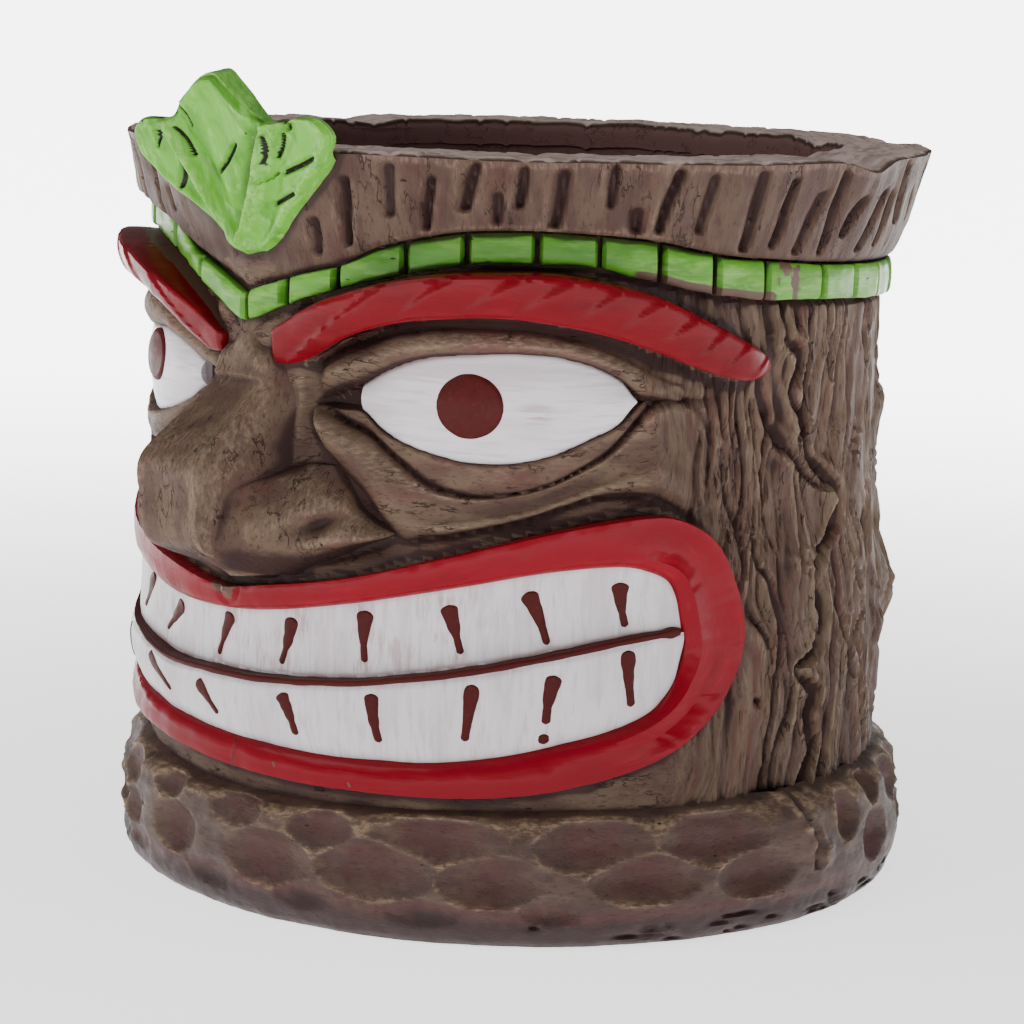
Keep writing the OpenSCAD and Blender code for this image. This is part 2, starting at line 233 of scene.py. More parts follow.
def bark(a, z):
    """How far the bark stands out of the wall: wavy plates, long cracks and fine grain."""
    wave = 4.5 * layers(grain(a, z, 15, 24), 5, 2) + 1.1 * noise(grain(a, z, 4, 9), 6)
    b = a + np.degrees(wave / TRUNK_R)
    plates = 0.75 * noise(grain(b, z, 4.6, 26), 11) + 0.5 * noise(grain(b, z, 9, 17), 12)
    cracks = bell(noise(grain(b, z, 2.9, 30), 13), 0.13) * step(noise(grain(b, z, 7, 14), 14), -0.35, 0.1)
    folds = bell(noise(grain(b, z, 1.35, 20), 15), 0.17) * step(noise(grain(b, z, 6, 11), 16), -0.4, 0.2)
    threads = bell(noise(grain(b, z, 0.75, 14), 20), 0.22)
    rough = noise(grain(b, z, 0.8, 4.0), 18)
    out = 0.85 * plates - 0.8 * cracks - 0.5 * folds - 0.32 * threads + 0.12 * rough
    for (ka, kz, size) in KNOTS:
        d = np.hypot(degrees_to_mm(a - ka), z - kz) / size
        out += bell(d, 1.0) * (0.35 + 0.9 * noise(on_wall(a, z, TRUNK_R) / 0.95, 21))
    return out


def gouged(a, z):
    """The gouges, with the ridges pushed up beside them, and the lumps and hollows."""
    out = np.zeros(np.broadcast(a, z).shape)
    ragged = 0.16 * noise(on_wall(a, z, TRUNK_R) / 0.9, 31)
    for points, half, deep in GOUGES:
        d = near_path(a, z, points, 4 * half + 1)
        out -= deep * bell(np.maximum(0, d + ragged), half)
        out += 0.3 * deep * bell(d - 2.0 * half, 0.9 * half)
    for (la, lz, ra, rz, high) in LUMPS:
        out += high * bell(degrees_to_mm(a - la) / ra, 1) * bell((z - lz) / rz, 1)
    return out


def hand_cut(p, size=5.0, deep=0.16, seed=40):
    """The slight unevenness of a surface cut by hand."""
    return deep * noise(p / size, seed) + 0.3 * deep * noise(p / (size * 0.3), seed + 1)


# --- Shells: closed meshes made of sections ---------------------------------------------------------


class Shell:
    """A closed mesh skinned over sections. Every section is a ring of points, of which the first
    `front` are the carved face. flow holds places for brush marks and grain, in mm."""

    def __init__(self, face, back, wrap=False, flow=None, soiled_and_shaded=None):
        self.rings = np.concatenate([face, back], axis=1)
        self.front = face.shape[1]
        self.wrap = wrap
        rest = self.rings[:, self.front:]
        flow = face if flow is None else flow
        self.flow = np.concatenate([flow, rest], axis=1)
        zeros = np.zeros(rest.shape[:2])
        # The per-point mask for stains, bare spots and other tints; on the upper teeth it also carries
        # painted shade.
        self.soiled_and_shaded = np.concatenate([np.zeros(face.shape[:2]) if soiled_and_shaded is None else soiled_and_shaded, zeros], axis=1)
        self.open_ends = False
        self.recess = None

    def mirrored(self):
        other = Shell.__new__(Shell)
        other.__dict__.update(self.__dict__)
        other.rings = self.rings * (-1, 1, 1)
        other.flow = self.flow * (-1, 1, 1) + 31.0
        return other

    def faces(self):
        n, m = self.rings.shape[:2]
        i = np.arange(n if self.wrap else n - 1)[:, None]
        j = np.arange(m - 1 if self.open_ends else m)[None, :]
        here, there = i * m, (i + 1) % n * m
        corners = (here + j, here + (j + 1) % m, there + (j + 1) % m, there + j)
        quads = np.stack(np.broadcast_arrays(*corners), -1)
        caps = []
        if self.open_ends:
            caps = [[k * m for k in range(n)], [k * m + m - 1 for k in range(n - 1, -1, -1)]]
        elif not self.wrap:
            caps = [list(range(m - 1, -1, -1)), list(range((n - 1) * m, n * m))]
        return quads.reshape(-1, 4), caps


def embed(face, r):
    """Two back points for each section, straight behind its last and its first face point at radius r."""
    def behind(points):
        out = points.copy()
        out[:, :2] *= (r / np.hypot(points[:, 0], points[:, 1]))[:, None]
        return out
    return np.stack([behind(face[:, -1]), behind(face[:, 0])], axis=1)


def strip_flow(along_mm, across_mm, stretch=0.14):
    """Places for brush marks that are drawn out along a strip."""
    along, across = np.broadcast_arrays(along_mm, across_mm)
    return np.stack([across, across * 0 + 7.0, along * stretch], axis=-1)


HIDDEN_R = 48.5      # relief pieces go this deep into the wall, so that nothing shows behind them


def blunt(angles, from_a, to_a, run_in, run_out):
    """1 along the middle of a strip, falling to 0 at its ends as a round nose does."""
    t = np.minimum((angles - from_a) / run_in, (to_a - angles) / run_out)
    t = np.clip(t, 0, 1)
    return np.sqrt(np.clip(1 - (1 - t) ** 2, 0, 1))


def fine_steps(start, stop, mm=0.36):
    """Even steps of about so many mm."""
    return np.linspace(start, stop, int(degrees_to_mm(stop - start) / mm) + 1)


def end_steps(start, stop, mm=0.36):
    """Steps that crowd together at both ends, for strips with round ends."""
    n = int(degrees_to_mm(stop - start) / mm) + 8
    t = np.linspace(0, 1, n)
    return start + (stop - start) * (0.7 * t + 0.3 * (1 - np.cos(np.pi * t)) / 2)


# --- The face, given for its right side as (angle, height) ------------------------------------------

BROW_FOOT = [
    (5, 75.9), (8, 75.8), (12, 77.1), (18, 80.2), (25, 82.5), (32, 83.5), (39, 83.9), (46, 83.3),
    (53, 82.0), (60, 79.9), (67, 77.4), (75, 75.5), (82, 76.0),
]
BROW_TOP = [
    (5, 80.0), (8, 81.6), (11, 83.3), (18, 86.1), (25, 88.1), (32, 89.3), (39, 89.7), (46, 89.8),
    (53, 88.8), (60, 87.1), (67, 84.1), (74, 81.0), (82, 77.4),
]
EYE_TOP = [
    (9.6, 70.7), (14, 72.5), (18, 73.7), (21, 75.2), (27, 77.5), (35, 78.7), (42, 79.1), (48, 78.6),
    (54, 76.9), (57, 75.4), (60, 73.2), (67, 72.8),
]
EYE_FOOT = [
    (9.6, 70.4), (14, 69.9), (18, 69.8), (21, 68.0), (24, 66.7), (29, 65.4), (35, 64.4), (41, 64.5),
    (47, 65.7), (52, 67.7), (57, 70.0), (60, 72.6), (67, 72.4),
]
LID_FOLD = [(9.3, 73.4), (9.9, 74.9), (11.4, 76.8), (15, 78.6), (20.5, 79.9), (26.4, 81.3), (36.2, 82.1),
            (43.1, 81.9), (50, 80.8), (57.3, 78.4), (63.8, 75.6), (68, 74.4)]
LID_CREASE = [
    (10.2, 70.2), (15.3, 68.0), (19.7, 66.8), (24.8, 63.9), (29.7, 61.1), (34.5, 60.1), (41.5, 60.6),
    (46.1, 61.7), (50.7, 63.7), (55.3, 66.3), (59.1, 69.8), (61.4, 72.2), (68, 72.4),
]
CHEEK_FOOT = [
    (10.2, 69.9), (11.1, 67.5), (12.4, 65.0), (15.4, 62.1), (19.3, 59.0), (22.1, 55.8), (24.5, 53.8),
    (30, 54.1), (37, 55.5), (44, 57.2), (48.5, 58.7), (53, 60.0), (58.3, 60.3), (63, 59.6), (68, 57.3),
]
WING_FOOT = [(3, 51.0), (6.6, 51.5), (12, 51.9), (17, 52.5), (21, 53.2), (25.5, 54.2)]
WING_TOP = [
    (3, 58.4), (5.3, 59.2), (6.3, 59.9), (7.5, 60.6), (9, 61.0), (11, 60.8), (14, 59.6), (17.3, 57.7),
    (20, 56.1), (25.5, 55.0),
]
NOSE_GROOVE = [(-3, 47.7), (0, 47.9), (4, 48.7), (10, 49.5), (15.2, 50.1), (19.6, 51.4), (23.1, 53.1)]
EYE_R = [(9.6, 50.2), (14, 50.3), (18, 50.9), (24, 52.6), (32, 53.9), (40, 54.5), (48, 54.3), (55, 53.6),
         (60, 52.7), (63, 52.8), (67, 53.0)]
LEFT_DROOP = 2.6             # how much lower the upper lid's edge hangs on the left
EYE_FALL = 1.0               # how much lower an eyeball is along its lids than across its middle
LID_HUMP = [(9.3, 0.8), (12, 2.3), (18, 2.5), (26, 1.9), (36, 1.3), (50, 1.1), (60, 0.9), (68, 0.4)]
LID_SHAPE = [
    (-1, 0.0), (0, 0.1), (0.14, 0.55), (0.38, 1.0), (0.66, 0.85), (0.86, 0.4), (1, -0.2), (1.2, -0.5),
    (3, -0.55),
]
LOWER_LID_SHAPE = [
    (-1, -0.8), (-0.12, -0.7), (0.0, -0.7), (0.1, -0.35), (0.35, 0.15), (0.75, 0.35), (0.93, 0.3),
    (1.0, 0.05),
]
CHEEK_SHAPE = [
    (-1, 0.0), (-0.3, 0.15), (-0.07, -0.3), (0.0, -0.8), (0.05, 0.1), (0.14, 1.2), (0.25, 1.5),
    (0.42, 1.0), (0.65, 0.95), (0.85, 1.5), (0.94, 1.55), (0.98, 1.0), (1.0, 0.2),
]
ROLL_SHAPE = [
    (-1, -1.1), (-0.2, -1.1), (0.0, -0.9), (0.12, 0.0), (0.35, 1.4), (0.6, 2.0), (0.85, 1.6),
    (0.96, 0.8), (1.0, 0.0),
]


def share(z, low, high):
    """How far z is from low to high, as a share."""
    return (z - low) / np.maximum(high - low, 0.05)


def eye_top(a):
    """The edge of the upper lid, which hangs lower on the left."""
    return curve(EYE_TOP, abs(a)) - LEFT_DROOP * bell(a + 42, 13)


def eye_r(a, z):
    """Radius of the eyeball's surface."""
    b = abs(a)
    top, foot = curve(EYE_TOP, b), curve(EYE_FOOT, b)
    v = np.clip((2 * z - top - foot) / np.maximum(top - foot, 0.4), -1.15, 1.15)
    return curve(EYE_R, b) - EYE_FALL * v * v


def sculpted(a, z):
    """Radius of everything brown on the face but the nose: lids, cheeks and the channels by them."""
    b = abs(a)
    wall = wall_r(a, z)
    eye_edge = curve(EYE_R, b) - EYE_FALL
    top, foot, fold = eye_top(a), curve(EYE_FOOT, b), curve(LID_FOLD, b)
    crease, cheek = curve(LID_CREASE, b), curve(CHEEK_FOOT, b)
    lid = eye_edge + curve(LID_HUMP, b) * curve(LID_SHAPE, share(z, top, fold))
    lower = eye_edge + 0.2 + curve(LOWER_LID_SHAPE, share(z, crease, foot))
    u = share(z, cheek, crease)
    inner = step(b, 31, 21)
    soft = inner * curve(ROLL_SHAPE, u) + (1 - inner) * curve(CHEEK_SHAPE, u)
    out = np.where(z > (top + foot) / 2, lid, np.where(z > crease, lower, wall + soft))
    socket = (z < top) & (z > foot)
    out = np.where(socket, eye_edge - 0.5 - 0.7 * step(b, 20, 14), out)
    out = np.where(z > np.maximum(fold + 1.5, curve(BROW_FOOT, b) + 1.2), wall, out)
    near_nose = step(b, 12.0, 9.6)
    out = out * (1 - near_nose) + (wall - 0.9) * near_nose
    off_face = step(b, 60, 77)
    out = out * (1 - off_face) + wall * off_face
    canthus = bell(degrees_to_mm(b - 61.5) / 2.2, 1) * bell((z - 72.6 + 0.1 * (b - 63)) / 0.9, 1)
    fold_tail = bell(degrees_to_mm(b - 67) / 3.5, 1) * bell((z - 76 + 0.35 * (b - 66)) / 1.1, 1)
    out = out - 0.8 * canthus + 0.6 * fold_tail
    keep = step(b, 8.2, 9.6) * step(z, 49, 52) * step(z, 88, 85)
    under_cheek = step(z, 45, 50) * step(b, 74, 66) * 0.25
    return wall * (1 - keep) + out * keep + under_cheek


def face_r(a, z):
    """Radius of the whole carved wall, from the sculpted face to the bark behind it."""
    a, z = np.broadcast_arrays(np.asarray(a, float), np.asarray(z, float))
    rough = bark_share(a, z)
    p = on_wall(a, z, TRUNK_R)
    smooth = hand_cut(p, 4.0, 0.16) + 0.05 * noise(p / 0.8, 19)
    groove = 0.55 * bell(near_path(abs(a), z, NOSE_GROOVE, 4), 0.55)
    return sculpted(a, z) - groove + rough * (bark(a, z) + gouged(a, z)) + (1 - rough) * smooth


# Rows of the nose: height, distance of its front from the axis, half width of the front, angle of its foot
NOSE = [
    (46.0, 54.0, 2.5, 6.5), (47.5, 57.2, 3.6, 8.0), (49.5, 62.4, 4.8, 9.4), (51.5, 66.6, 5.4, 9.8),
    (53.3, 68.0, 5.6, 9.7), (58.5, 68.4, 5.6, 9.2), (63.6, 68.3, 5.4, 8.4), (64.6, 67.3, 5.3, 8.3),
    (66, 65.6, 5.2, 8.3), (68, 62.6, 5.1, 8.5), (70, 59.8, 5.0, 8.8), (72, 57.4, 4.9, 9.0),
    (74, 55.9, 4.6, 8.8), (77, 55.3, 4.0, 7.4), (79.5, 55.0, 3.2, 5.8), (82, 54.5, 2.0, 4.2),
    (84, 53.8, 1.2, 3.4),
]
WING_R = [
    (3, 68.0), (4.5, 66.9), (5.3, 65.6), (6.3, 64.0), (7.5, 62.6), (9, 61.0), (12, 59.1), (14.5, 58.2),
    (17.6, 56.9), (21, 55.5), (23.6, 53.9), (25.5, 51.6),
]
WING_SHAPE = [
    (-0.9, -12), (-0.35, -6), (-0.08, -2.2), (0.05, -0.8), (0.16, -0.15), (0.3, 0), (0.5, -0.7),
    (0.8, -3.0), (1.0, -5.0), (1.15, -8), (1.6, -14),
]
WING_SLACK = [
    (3, 0.1), (5.2, 0.12), (6.3, 0.5), (7.5, 0.95), (9, 1.05), (11, 0.8), (14, 0.55), (20, 0.5),
    (25.5, 0.5),
]
NOSTRIL_AT, NOSTRIL_LEAN = (14.3, 54.9), 30.0


def soft_min(x, y, k):
    """The smaller of x and y, with the corner between them rounded over k."""
    h = np.clip(0.5 + 0.5 * (y - x) / k, 0, 1)
    return y + (x - y) * h - k * h * (1 - h)


def nose_r(a, z):
    """The nose as a wedge: a flat front between two steep side planes, with a knob between the brows."""
    b = np.radians(abs(a))
    row = curve(NOSE, z)
    front, half, foot = row[..., 0], row[..., 1], row[..., 2]
    root = wall_r(foot, z) - 1.4
    fx, fy = root * np.sin(np.radians(foot)), root * np.cos(np.radians(foot))
    flat = front / np.cos(b)
    side = (half * (fy - front) - front * (fx - half)) / (np.sin(b) * (fy - front) - np.cos(b) * (fx - half))
    side = np.where((side > 0) & (side < 90), side, 90)
    edge = bell((abs(a) - 4.8) / 0.6, 1) * step(z, 54, 57) * step(z, 66, 64)
    out = soft_min(flat, side, 0.22 + 1.4 * step(z, 65, 72)) + 0.22 * edge
    knob = step(z, 73.1, 73.9) * step(z, 81.0, 77.5) * step(abs(a), 5.8, 4.2)
    aside = abs(a) - 3.4
    hollow = bell((aside + 0.75 * (z - 78.4)) / 1.9, 1) * bell(((z - 78.6) - 0.45 * aside) / 2.0, 1)
    p = on_wall(a, z, out)
    out = out + 0.85 * knob - 2.4 * hollow + hand_cut(p, 4.0, 0.2, 61)
    return out + 0.05 * noise(p / (2.5, 0.6, 0.5), 63)


def wing_r(a, z):
    """A nose wing, which falls back to the cheek, with its nostril."""
    b = abs(a)
    q = share(z, curve(WING_FOOT, b), curve(WING_TOP, b))
    slack = np.where(q > 0.3, curve(WING_SLACK, b), 1)
    out = curve(WING_R, b) + slack * curve(WING_SHAPE, q)
    x, y = degrees_to_mm(b - NOSTRIL_AT[0]), z - NOSTRIL_AT[1]
    t = math.radians(NOSTRIL_LEAN)
    along, across = x * math.cos(t) + y * math.sin(t), y * math.cos(t) - x * math.sin(t)
    nostril = bell(along / 4.0, 1) * bell(across / 1.45, 1)
    p = on_wall(a, z, out)
    return out - 2.5 * nostril + hand_cut(p, 3.5, 0.2, 65) + 0.05 * noise(p / 0.6, 66)


def even_ring(a, r, count):
    """Places along the outline (a, r) of a section at even distances, so that steep sides get points too."""
    x, y = r * np.sin(np.radians(a)), -r * np.cos(np.radians(a))
    run = np.concatenate([[0], np.cumsum(np.hypot(np.diff(x), np.diff(y)))])
    at = np.linspace(0, run[-1], count)
    return np.interp(at, run, x), np.interp(at, run, y)


def stacked(radius, z_list, a_from, a_to, count):
    """A shell of level sections from a radius function, each with evenly spread points."""
    a = np.linspace(a_from, a_to, 500)
    rows = []
    for z in z_list:
        x, y = even_ring(a, np.maximum(radius(a, np.full(500, z)), HIDDEN_R + 0.3), count)
        rows.append(np.column_stack([x, y, np.full(count, z)]))
    face = np.stack(rows)
    return Shell(face, embed(face, HIDDEN_R), flow=face * (1.0, 0.5, 0.35))


def nose_bridge():
    z = np.concatenate([np.arange(46.4, 53, 0.3), np.arange(53, 73, 0.35), np.arange(73, 82.6, 0.3)])
    return [stacked(nose_r, z, -10.2, 10.2, 130)]


def nose_wing():
    return [stacked(wing_r, np.arange(47.4, 62.6, 0.26), 3.2, 25.4, 110)]


def patch(start, stop, low, high, count, mm=0.32):
    """Part of the sculpted face between two lines, as a shell of its own."""
    a = fine_steps(start, stop, mm)
    lo, hi = low(a), high(a)
    v = np.linspace(0, 1, count)
    z = lo[:, None] + np.maximum(hi - lo, 0.3)[:, None] * v
    face = on_wall(a[:, None], z, face_r(a[:, None], z) + 0.06)
    return Shell(face, embed(face, HIDDEN_R), flow=trunk_flow(a[:, None], z))


def upper_eyelid(start=9.8, stop=66.5):
    return [patch(start, stop, lambda a: eye_top(a) - 0.1, lambda a: curve(LID_FOLD, abs(a)) + 0.9, 28)]


def lower_eyelid():
    return [patch(10.4, 61.2, lambda a: curve(LID_CREASE, a), lambda a: curve(EYE_FOOT, a) + 0.1, 24)]


def cheek():
    return [patch(10.6, 67, lambda a: curve(CHEEK_FOOT, a), lambda a: curve(LID_CREASE, a), 46)]


# Where the trunk sinks under a piece, so that the piece alone shows there: start, stop, low and high line
COVERED = [
    (18.4, 59.6, EYE_FOOT, EYE_TOP), (10.6, 65.5, EYE_TOP, LID_FOLD), (11, 60.5, LID_CREASE, EYE_FOOT),
    (11.2, 66, CHEEK_FOOT, LID_CREASE), (7.5, 79, BROW_FOOT, BROW_TOP),
]


def under_cover(a, z):
    """1 where the trunk lies under a piece, and 0 elsewhere."""
    b = abs(a)
    deep = np.zeros(np.broadcast(a, z).shape)
    for start, stop, low, high in COVERED:
        inside = np.minimum(z - curve(low, b), curve(high, b) - z)
        ends = np.minimum(degrees_to_mm(b - start), degrees_to_mm(stop - b))
        deep = np.maximum(deep, step(np.minimum(inside, ends), 0.25, 1.0))
    return deep


# --- Eyes and brows ---------------------------------------------------------------------------------

PUPIL_AT, PUPIL_R = (35.3, 72.0), 4.25
LEFT_PUPIL_AT, LEFT_PUPIL_R = (31.6, 72.9), 3.7


def eyeball(side=1):
    """The eyeball, drawn on the right; side is -1 for the one that goes on the left."""
    a = fine_steps(18, 58.95, 0.4)
    v = np.linspace(0, 1, 44)
    lo, hi = curve(EYE_FOOT, a) - 0.1, eye_top(side * a) + 0.1
    ragged = 0.16 * noise(on_wall(a, a * 0, 20) / 1.1, 71)
    lo, hi = lo + ragged, hi + 0.14 * noise(on_wall(a, a * 0, 20) / 1.4, 72)
    z = lo[:, None] + (hi - lo)[:, None] * v
    blunt_end = np.sqrt(np.clip((59.0 - a) / 2.2, 0.02, 1))
    middle = (lo + hi) / 2
    z = middle[:, None] + (z - middle[:, None]) * blunt_end[:, None]
    rim = np.minimum(v, 1 - v)[None, :] * (hi - lo)[:, None]
    r = eye_r(a[:, None], z) + 0.22 - 0.35 * bell(rim, 0.3) - 0.7 * (side < 0) * step(a[:, None], 26, 40)
    p = on_wall(a[:, None], z, r)
    r = r + hand_cut(p, 3.0, 0.07, 73)
    stain = bell((a[:, None] - 44.5) / 3.6, 1) * bell((z - 71.4) / 2.0, 1)
    face = on_wall(a[:, None], z, r)
    flow = strip_flow(degrees_to_mm(a[:, None]), z, 0.16)
    return [Shell(face, embed(face, HIDDEN_R), flow=flow, soiled_and_shaded=0.75 * stain + 0 * z)]


def pupil(at=PUPIL_AT, radius=PUPIL_R):
    """A round painted pupil that follows the eyeball."""
    turns = np.linspace(-1, 1, 41) * 0.995
    v = np.linspace(0, 1, 30)
    wobble = 0.03 * noise(np.column_stack([turns * 2, turns, turns]), 75)
    half = radius * np.sqrt(1 - turns**2) * (1 + wobble)
    a = at[0] + np.degrees(radius * 1.01 * turns / TRUNK_R)
    z = at[1] + half[:, None] * (2 * v - 1)
    edge = radius - np.hypot(turns[:, None] * radius, z - at[1])
    r = eye_r(a[:, None], z) + 0.24 + 0.26 * step(edge, -0.1, 0.5) + 0.1 * step(edge, 0, radius)
    face = on_wall(a[:, None], z, r)
    return [Shell(face, embed(face, HIDDEN_R), flow=face)]


BROW_OUT = [
    (5, 1.5), (9, 2.6), (12, 3.6), (20, 5.8), (30, 6.9), (48, 6.9), (60, 5.9), (70, 4.7), (78, 3.2),
    (82, 1.2),
]
BROW_PROFILE = [
    (0.30, -0.5), (0.20, 0.0), (0.09, 0.42), (0.01, 0.66), (0.0, 0.78), (0.05, 0.84), (0.16, 0.90),
    (0.3, 0.945), (0.55, 0.99), (0.8, 1.0), (0.93, 0.985), (0.985, 0.93), (1.0, 0.8), (0.99, 0.4),
    (0.96, -0.1), (0.9, -0.6),
]


def feathered(a, z):
    """Shallow slanting facets cut across the brow like barbs of a feather."""
    t = (degrees_to_mm(a) * 0.74 - z * 0.95 + 1.1 * noise(on_wall(a, z, TRUNK_R) / 9, 81)) / 5.2
    facet = t - np.floor(t)
    return 0.36 * (step(facet, 0.0, 0.1) - facet)


def brow(raised=0.0, lowered=0.0):
    """A brow, with its foot raised and its top lowered by so many mm along the side by the nose."""
    a = end_steps(5, 82, 0.34)
    inner = step(a, 50, 22)
    low, high = curve(BROW_FOOT, a) + raised * inner, curve(BROW_TOP, a) - lowered * inner
    nose_end = blunt(a, 5, 82, 0.8, 5.0)
    tip_end = blunt(a, 4, 82.0, 1, 4.5)
    middle, half = (low + high) / 2, (high - low) / 2
    low, high = middle - half * (0.25 + 0.75 * tip_end), middle + half * (0.25 + 0.75 * tip_end)
    out = curve(BROW_OUT, a) * (0.35 + 0.65 * nose_end)
    profile = path(BROW_PROFILE, 46)
    across, lift = profile[:, 0], profile[:, 1]
    z = low[:, None] + (high - low)[:, None] * across
    aa = a[:, None] + 0 * z
    r = wall_r(aa, z) + out[:, None] * lift
    front = step(lift, 0.75, 0.97)
    p = on_wall(aa, z, r)
    r = r + front * feathered(aa, z) + hand_cut(p, 3.0, 0.12, 83) * step(lift, 0.2, 0.6)
    face = on_wall(aa, z, r)
    at, up = np.broadcast_to(across, z.shape), np.broadcast_to(lift, z.shape)
    bare = step(aa, 26, 15) * step(at, 0.1, 0.0) * step(up, 0.8, 0.6)
    if lowered:
        edge = 0.3 + 0.2 * step(aa, 15, 48) + 0.06 * noise(p / 1.5, 84)
        bare = np.maximum(bare, step(at, 0.8, 0.95) * step(up - edge, 0.06, -0.04))
    return [Shell(face, embed(face, HIDDEN_R), flow=strip_flow(degrees_to_mm(aa), z, 0.22), soiled_and_shaded=bare)]


# --- The mouth --------------------------------------------------------------------------------------

# The lips' ring: outer angle and height, then inner angle and height, from under the chin anticlockwise
MOUTH = [
    (0, 19.8, 0, 24.1), (20, 19.6, 20, 23.9), (40, 20.2, 37, 25.0), (55, 22.7, 50, 27.7),
    (66, 26.6, 58, 29.8), (73, 32.6, 63.5, 33.0), (76.3, 40.0, 66.5, 38.5), (75.3, 46.5, 66, 44.0),
    (71.5, 53.6, 64.5, 48.6), (66, 57.2, 61, 50.5), (60, 58.0, 56, 51.2), (48, 56.1, 46, 50.3),
    (34, 52.5, 34, 47.9), (19, 48.4, 19, 44.7), (6, 46.0, 6, 42.3), (-4, 44.6, -4, 41.2),
    (-16, 45.9, -15, 41.0), (-28, 47.6, -26, 42.0), (-42, 49.6, -40, 43.6), (-55, 52.2, -52, 46.0),
    (-64, 53.0, -60, 47.2), (-70, 50.5, -64.5, 45.5), (-74.5, 43.5, -66.5, 40.5),
    (-73.5, 35.0, -64.5, 35.5), (-68, 28.6, -59.5, 31.0), (-57, 24.2, -51, 28.2), (-42, 21.9, -38, 26.2),
    (-22, 21.0, -20, 25.0),
]
TEETH_TOP = [
    (-66.8, 40.7), (-66, 43.2), (-64.5, 45.5), (-60, 47.2), (-52, 46.0), (-40, 43.6), (-26, 42.0),
    (-15, 41.0), (-4, 41.2), (6, 42.3), (19, 44.7), (34, 47.9), (46, 50.3), (56, 51.2), (61, 50.5),
    (64.5, 48.6), (66.2, 44.5), (66.8, 42.0),
]
TEETH_FOOT = [
    (-66.8, 40.0), (-66, 38.0), (-64.5, 35.5), (-59.5, 31.0), (-51, 28.2), (-38, 26.2), (-20, 25.0),
    (0, 24.1), (20, 23.9), (37, 25.0), (50, 27.7), (58, 29.8), (63.5, 33.0), (66, 37.5), (66.8, 41.0),
]
BITE = [
    (-66, 39.4), (-55, 36.9), (-40, 34.2), (-25, 32.9), (-16, 32.4), (-5, 32.7), (5, 33.0), (14, 33.8),
    (19, 34.3), (26, 35.3), (34, 36.7), (41, 38.1), (47, 39.4), (54, 40.8), (60, 41.8), (66, 42.3),
]
UPPER_GAPS = [
    ((-55, 45.2), (-58, 39.6)), ((-41, 43.2), (-47, 37.2)), ((-28, 41.6), (-35, 36.0)), ((-16, 39.8),
    (-22, 35.1)), ((-3, 40.5), (-6, 34.3)), ((9, 41.6), (7, 35.0)), ((21, 43.9), (21, 36.9)),
    ((33, 45.6), (35, 39.1)), ((44, 47.8), (47, 40.8)), ((57, 49.1), (58, 43.1)),
]
LOWER_GAPS = [
    ((-55, 35.4), (-52, 30.4)), ((-40, 32.6), (-36, 28.4)), ((-24, 31.3), (-16, 27.7)), ((-8, 30.6),
    (-4, 26.5)), ((9, 31.7), (11, 26.0)), ((23, 33.3), (24, 26.6)), ((37, 35.6), (36, 27.7)),
    ((48, 37.1), (47, 30.4)), ((58, 40.3), (59, 32.5)),
]
STRAY_DOT = (46.8, 28.3)
LIP_R = [(0, 55.8), (30, 56.0), (50, 56.2), (66, 56.0), (78, 55.4)]
LIP_PROFILE = [
    (0.08, -5.0), (0.03, -2.4), (0.0, -0.9), (0.012, -0.32), (0.05, -0.03), (0.14, 0.05), (0.35, 0.02),
    (0.6, -0.1), (0.8, -0.42), (0.92, -0.95), (0.99, -1.6), (1.02, -2.6), (1.02, -5.0),
]
TEETH_EDGE_R, TEETH_BULGE = 54.3, 2.5
UPPER_BULGE = [
    (0, 0.0), (0.12, 0.4), (0.3, 0.66), (0.55, 0.86), (0.8, 1.0), (0.9, 0.99), (0.96, 0.92), (1.0, 0.74),
]
LEFT_UPPER_BULGE = [(0, 0.3), (0.2, 0.95), (0.45, 1.36), (0.7, 1.2), (0.9, 0.85), (1.0, 0.6)]
LEFT_LOWER_BULGE = [(0, 0.58), (0.15, 0.85), (0.4, 0.95), (0.7, 0.7), (1, 0.1)]
LOWER_BULGE = [(0, 0.7), (0.05, 0.82), (0.12, 0.86), (0.3, 0.84), (0.6, 0.66), (0.85, 0.34), (1, 0)]


def ring_rows(rows, count):
    """The closed smooth ring through rows."""
    n = len(rows)
    wrapped = [rows[i % n] for i in range(-3, n + 4)]
    table = [(i - 3, *row) for i, row in enumerate(wrapped)]
    return curve(table, np.linspace(0, n, count, endpoint=False))


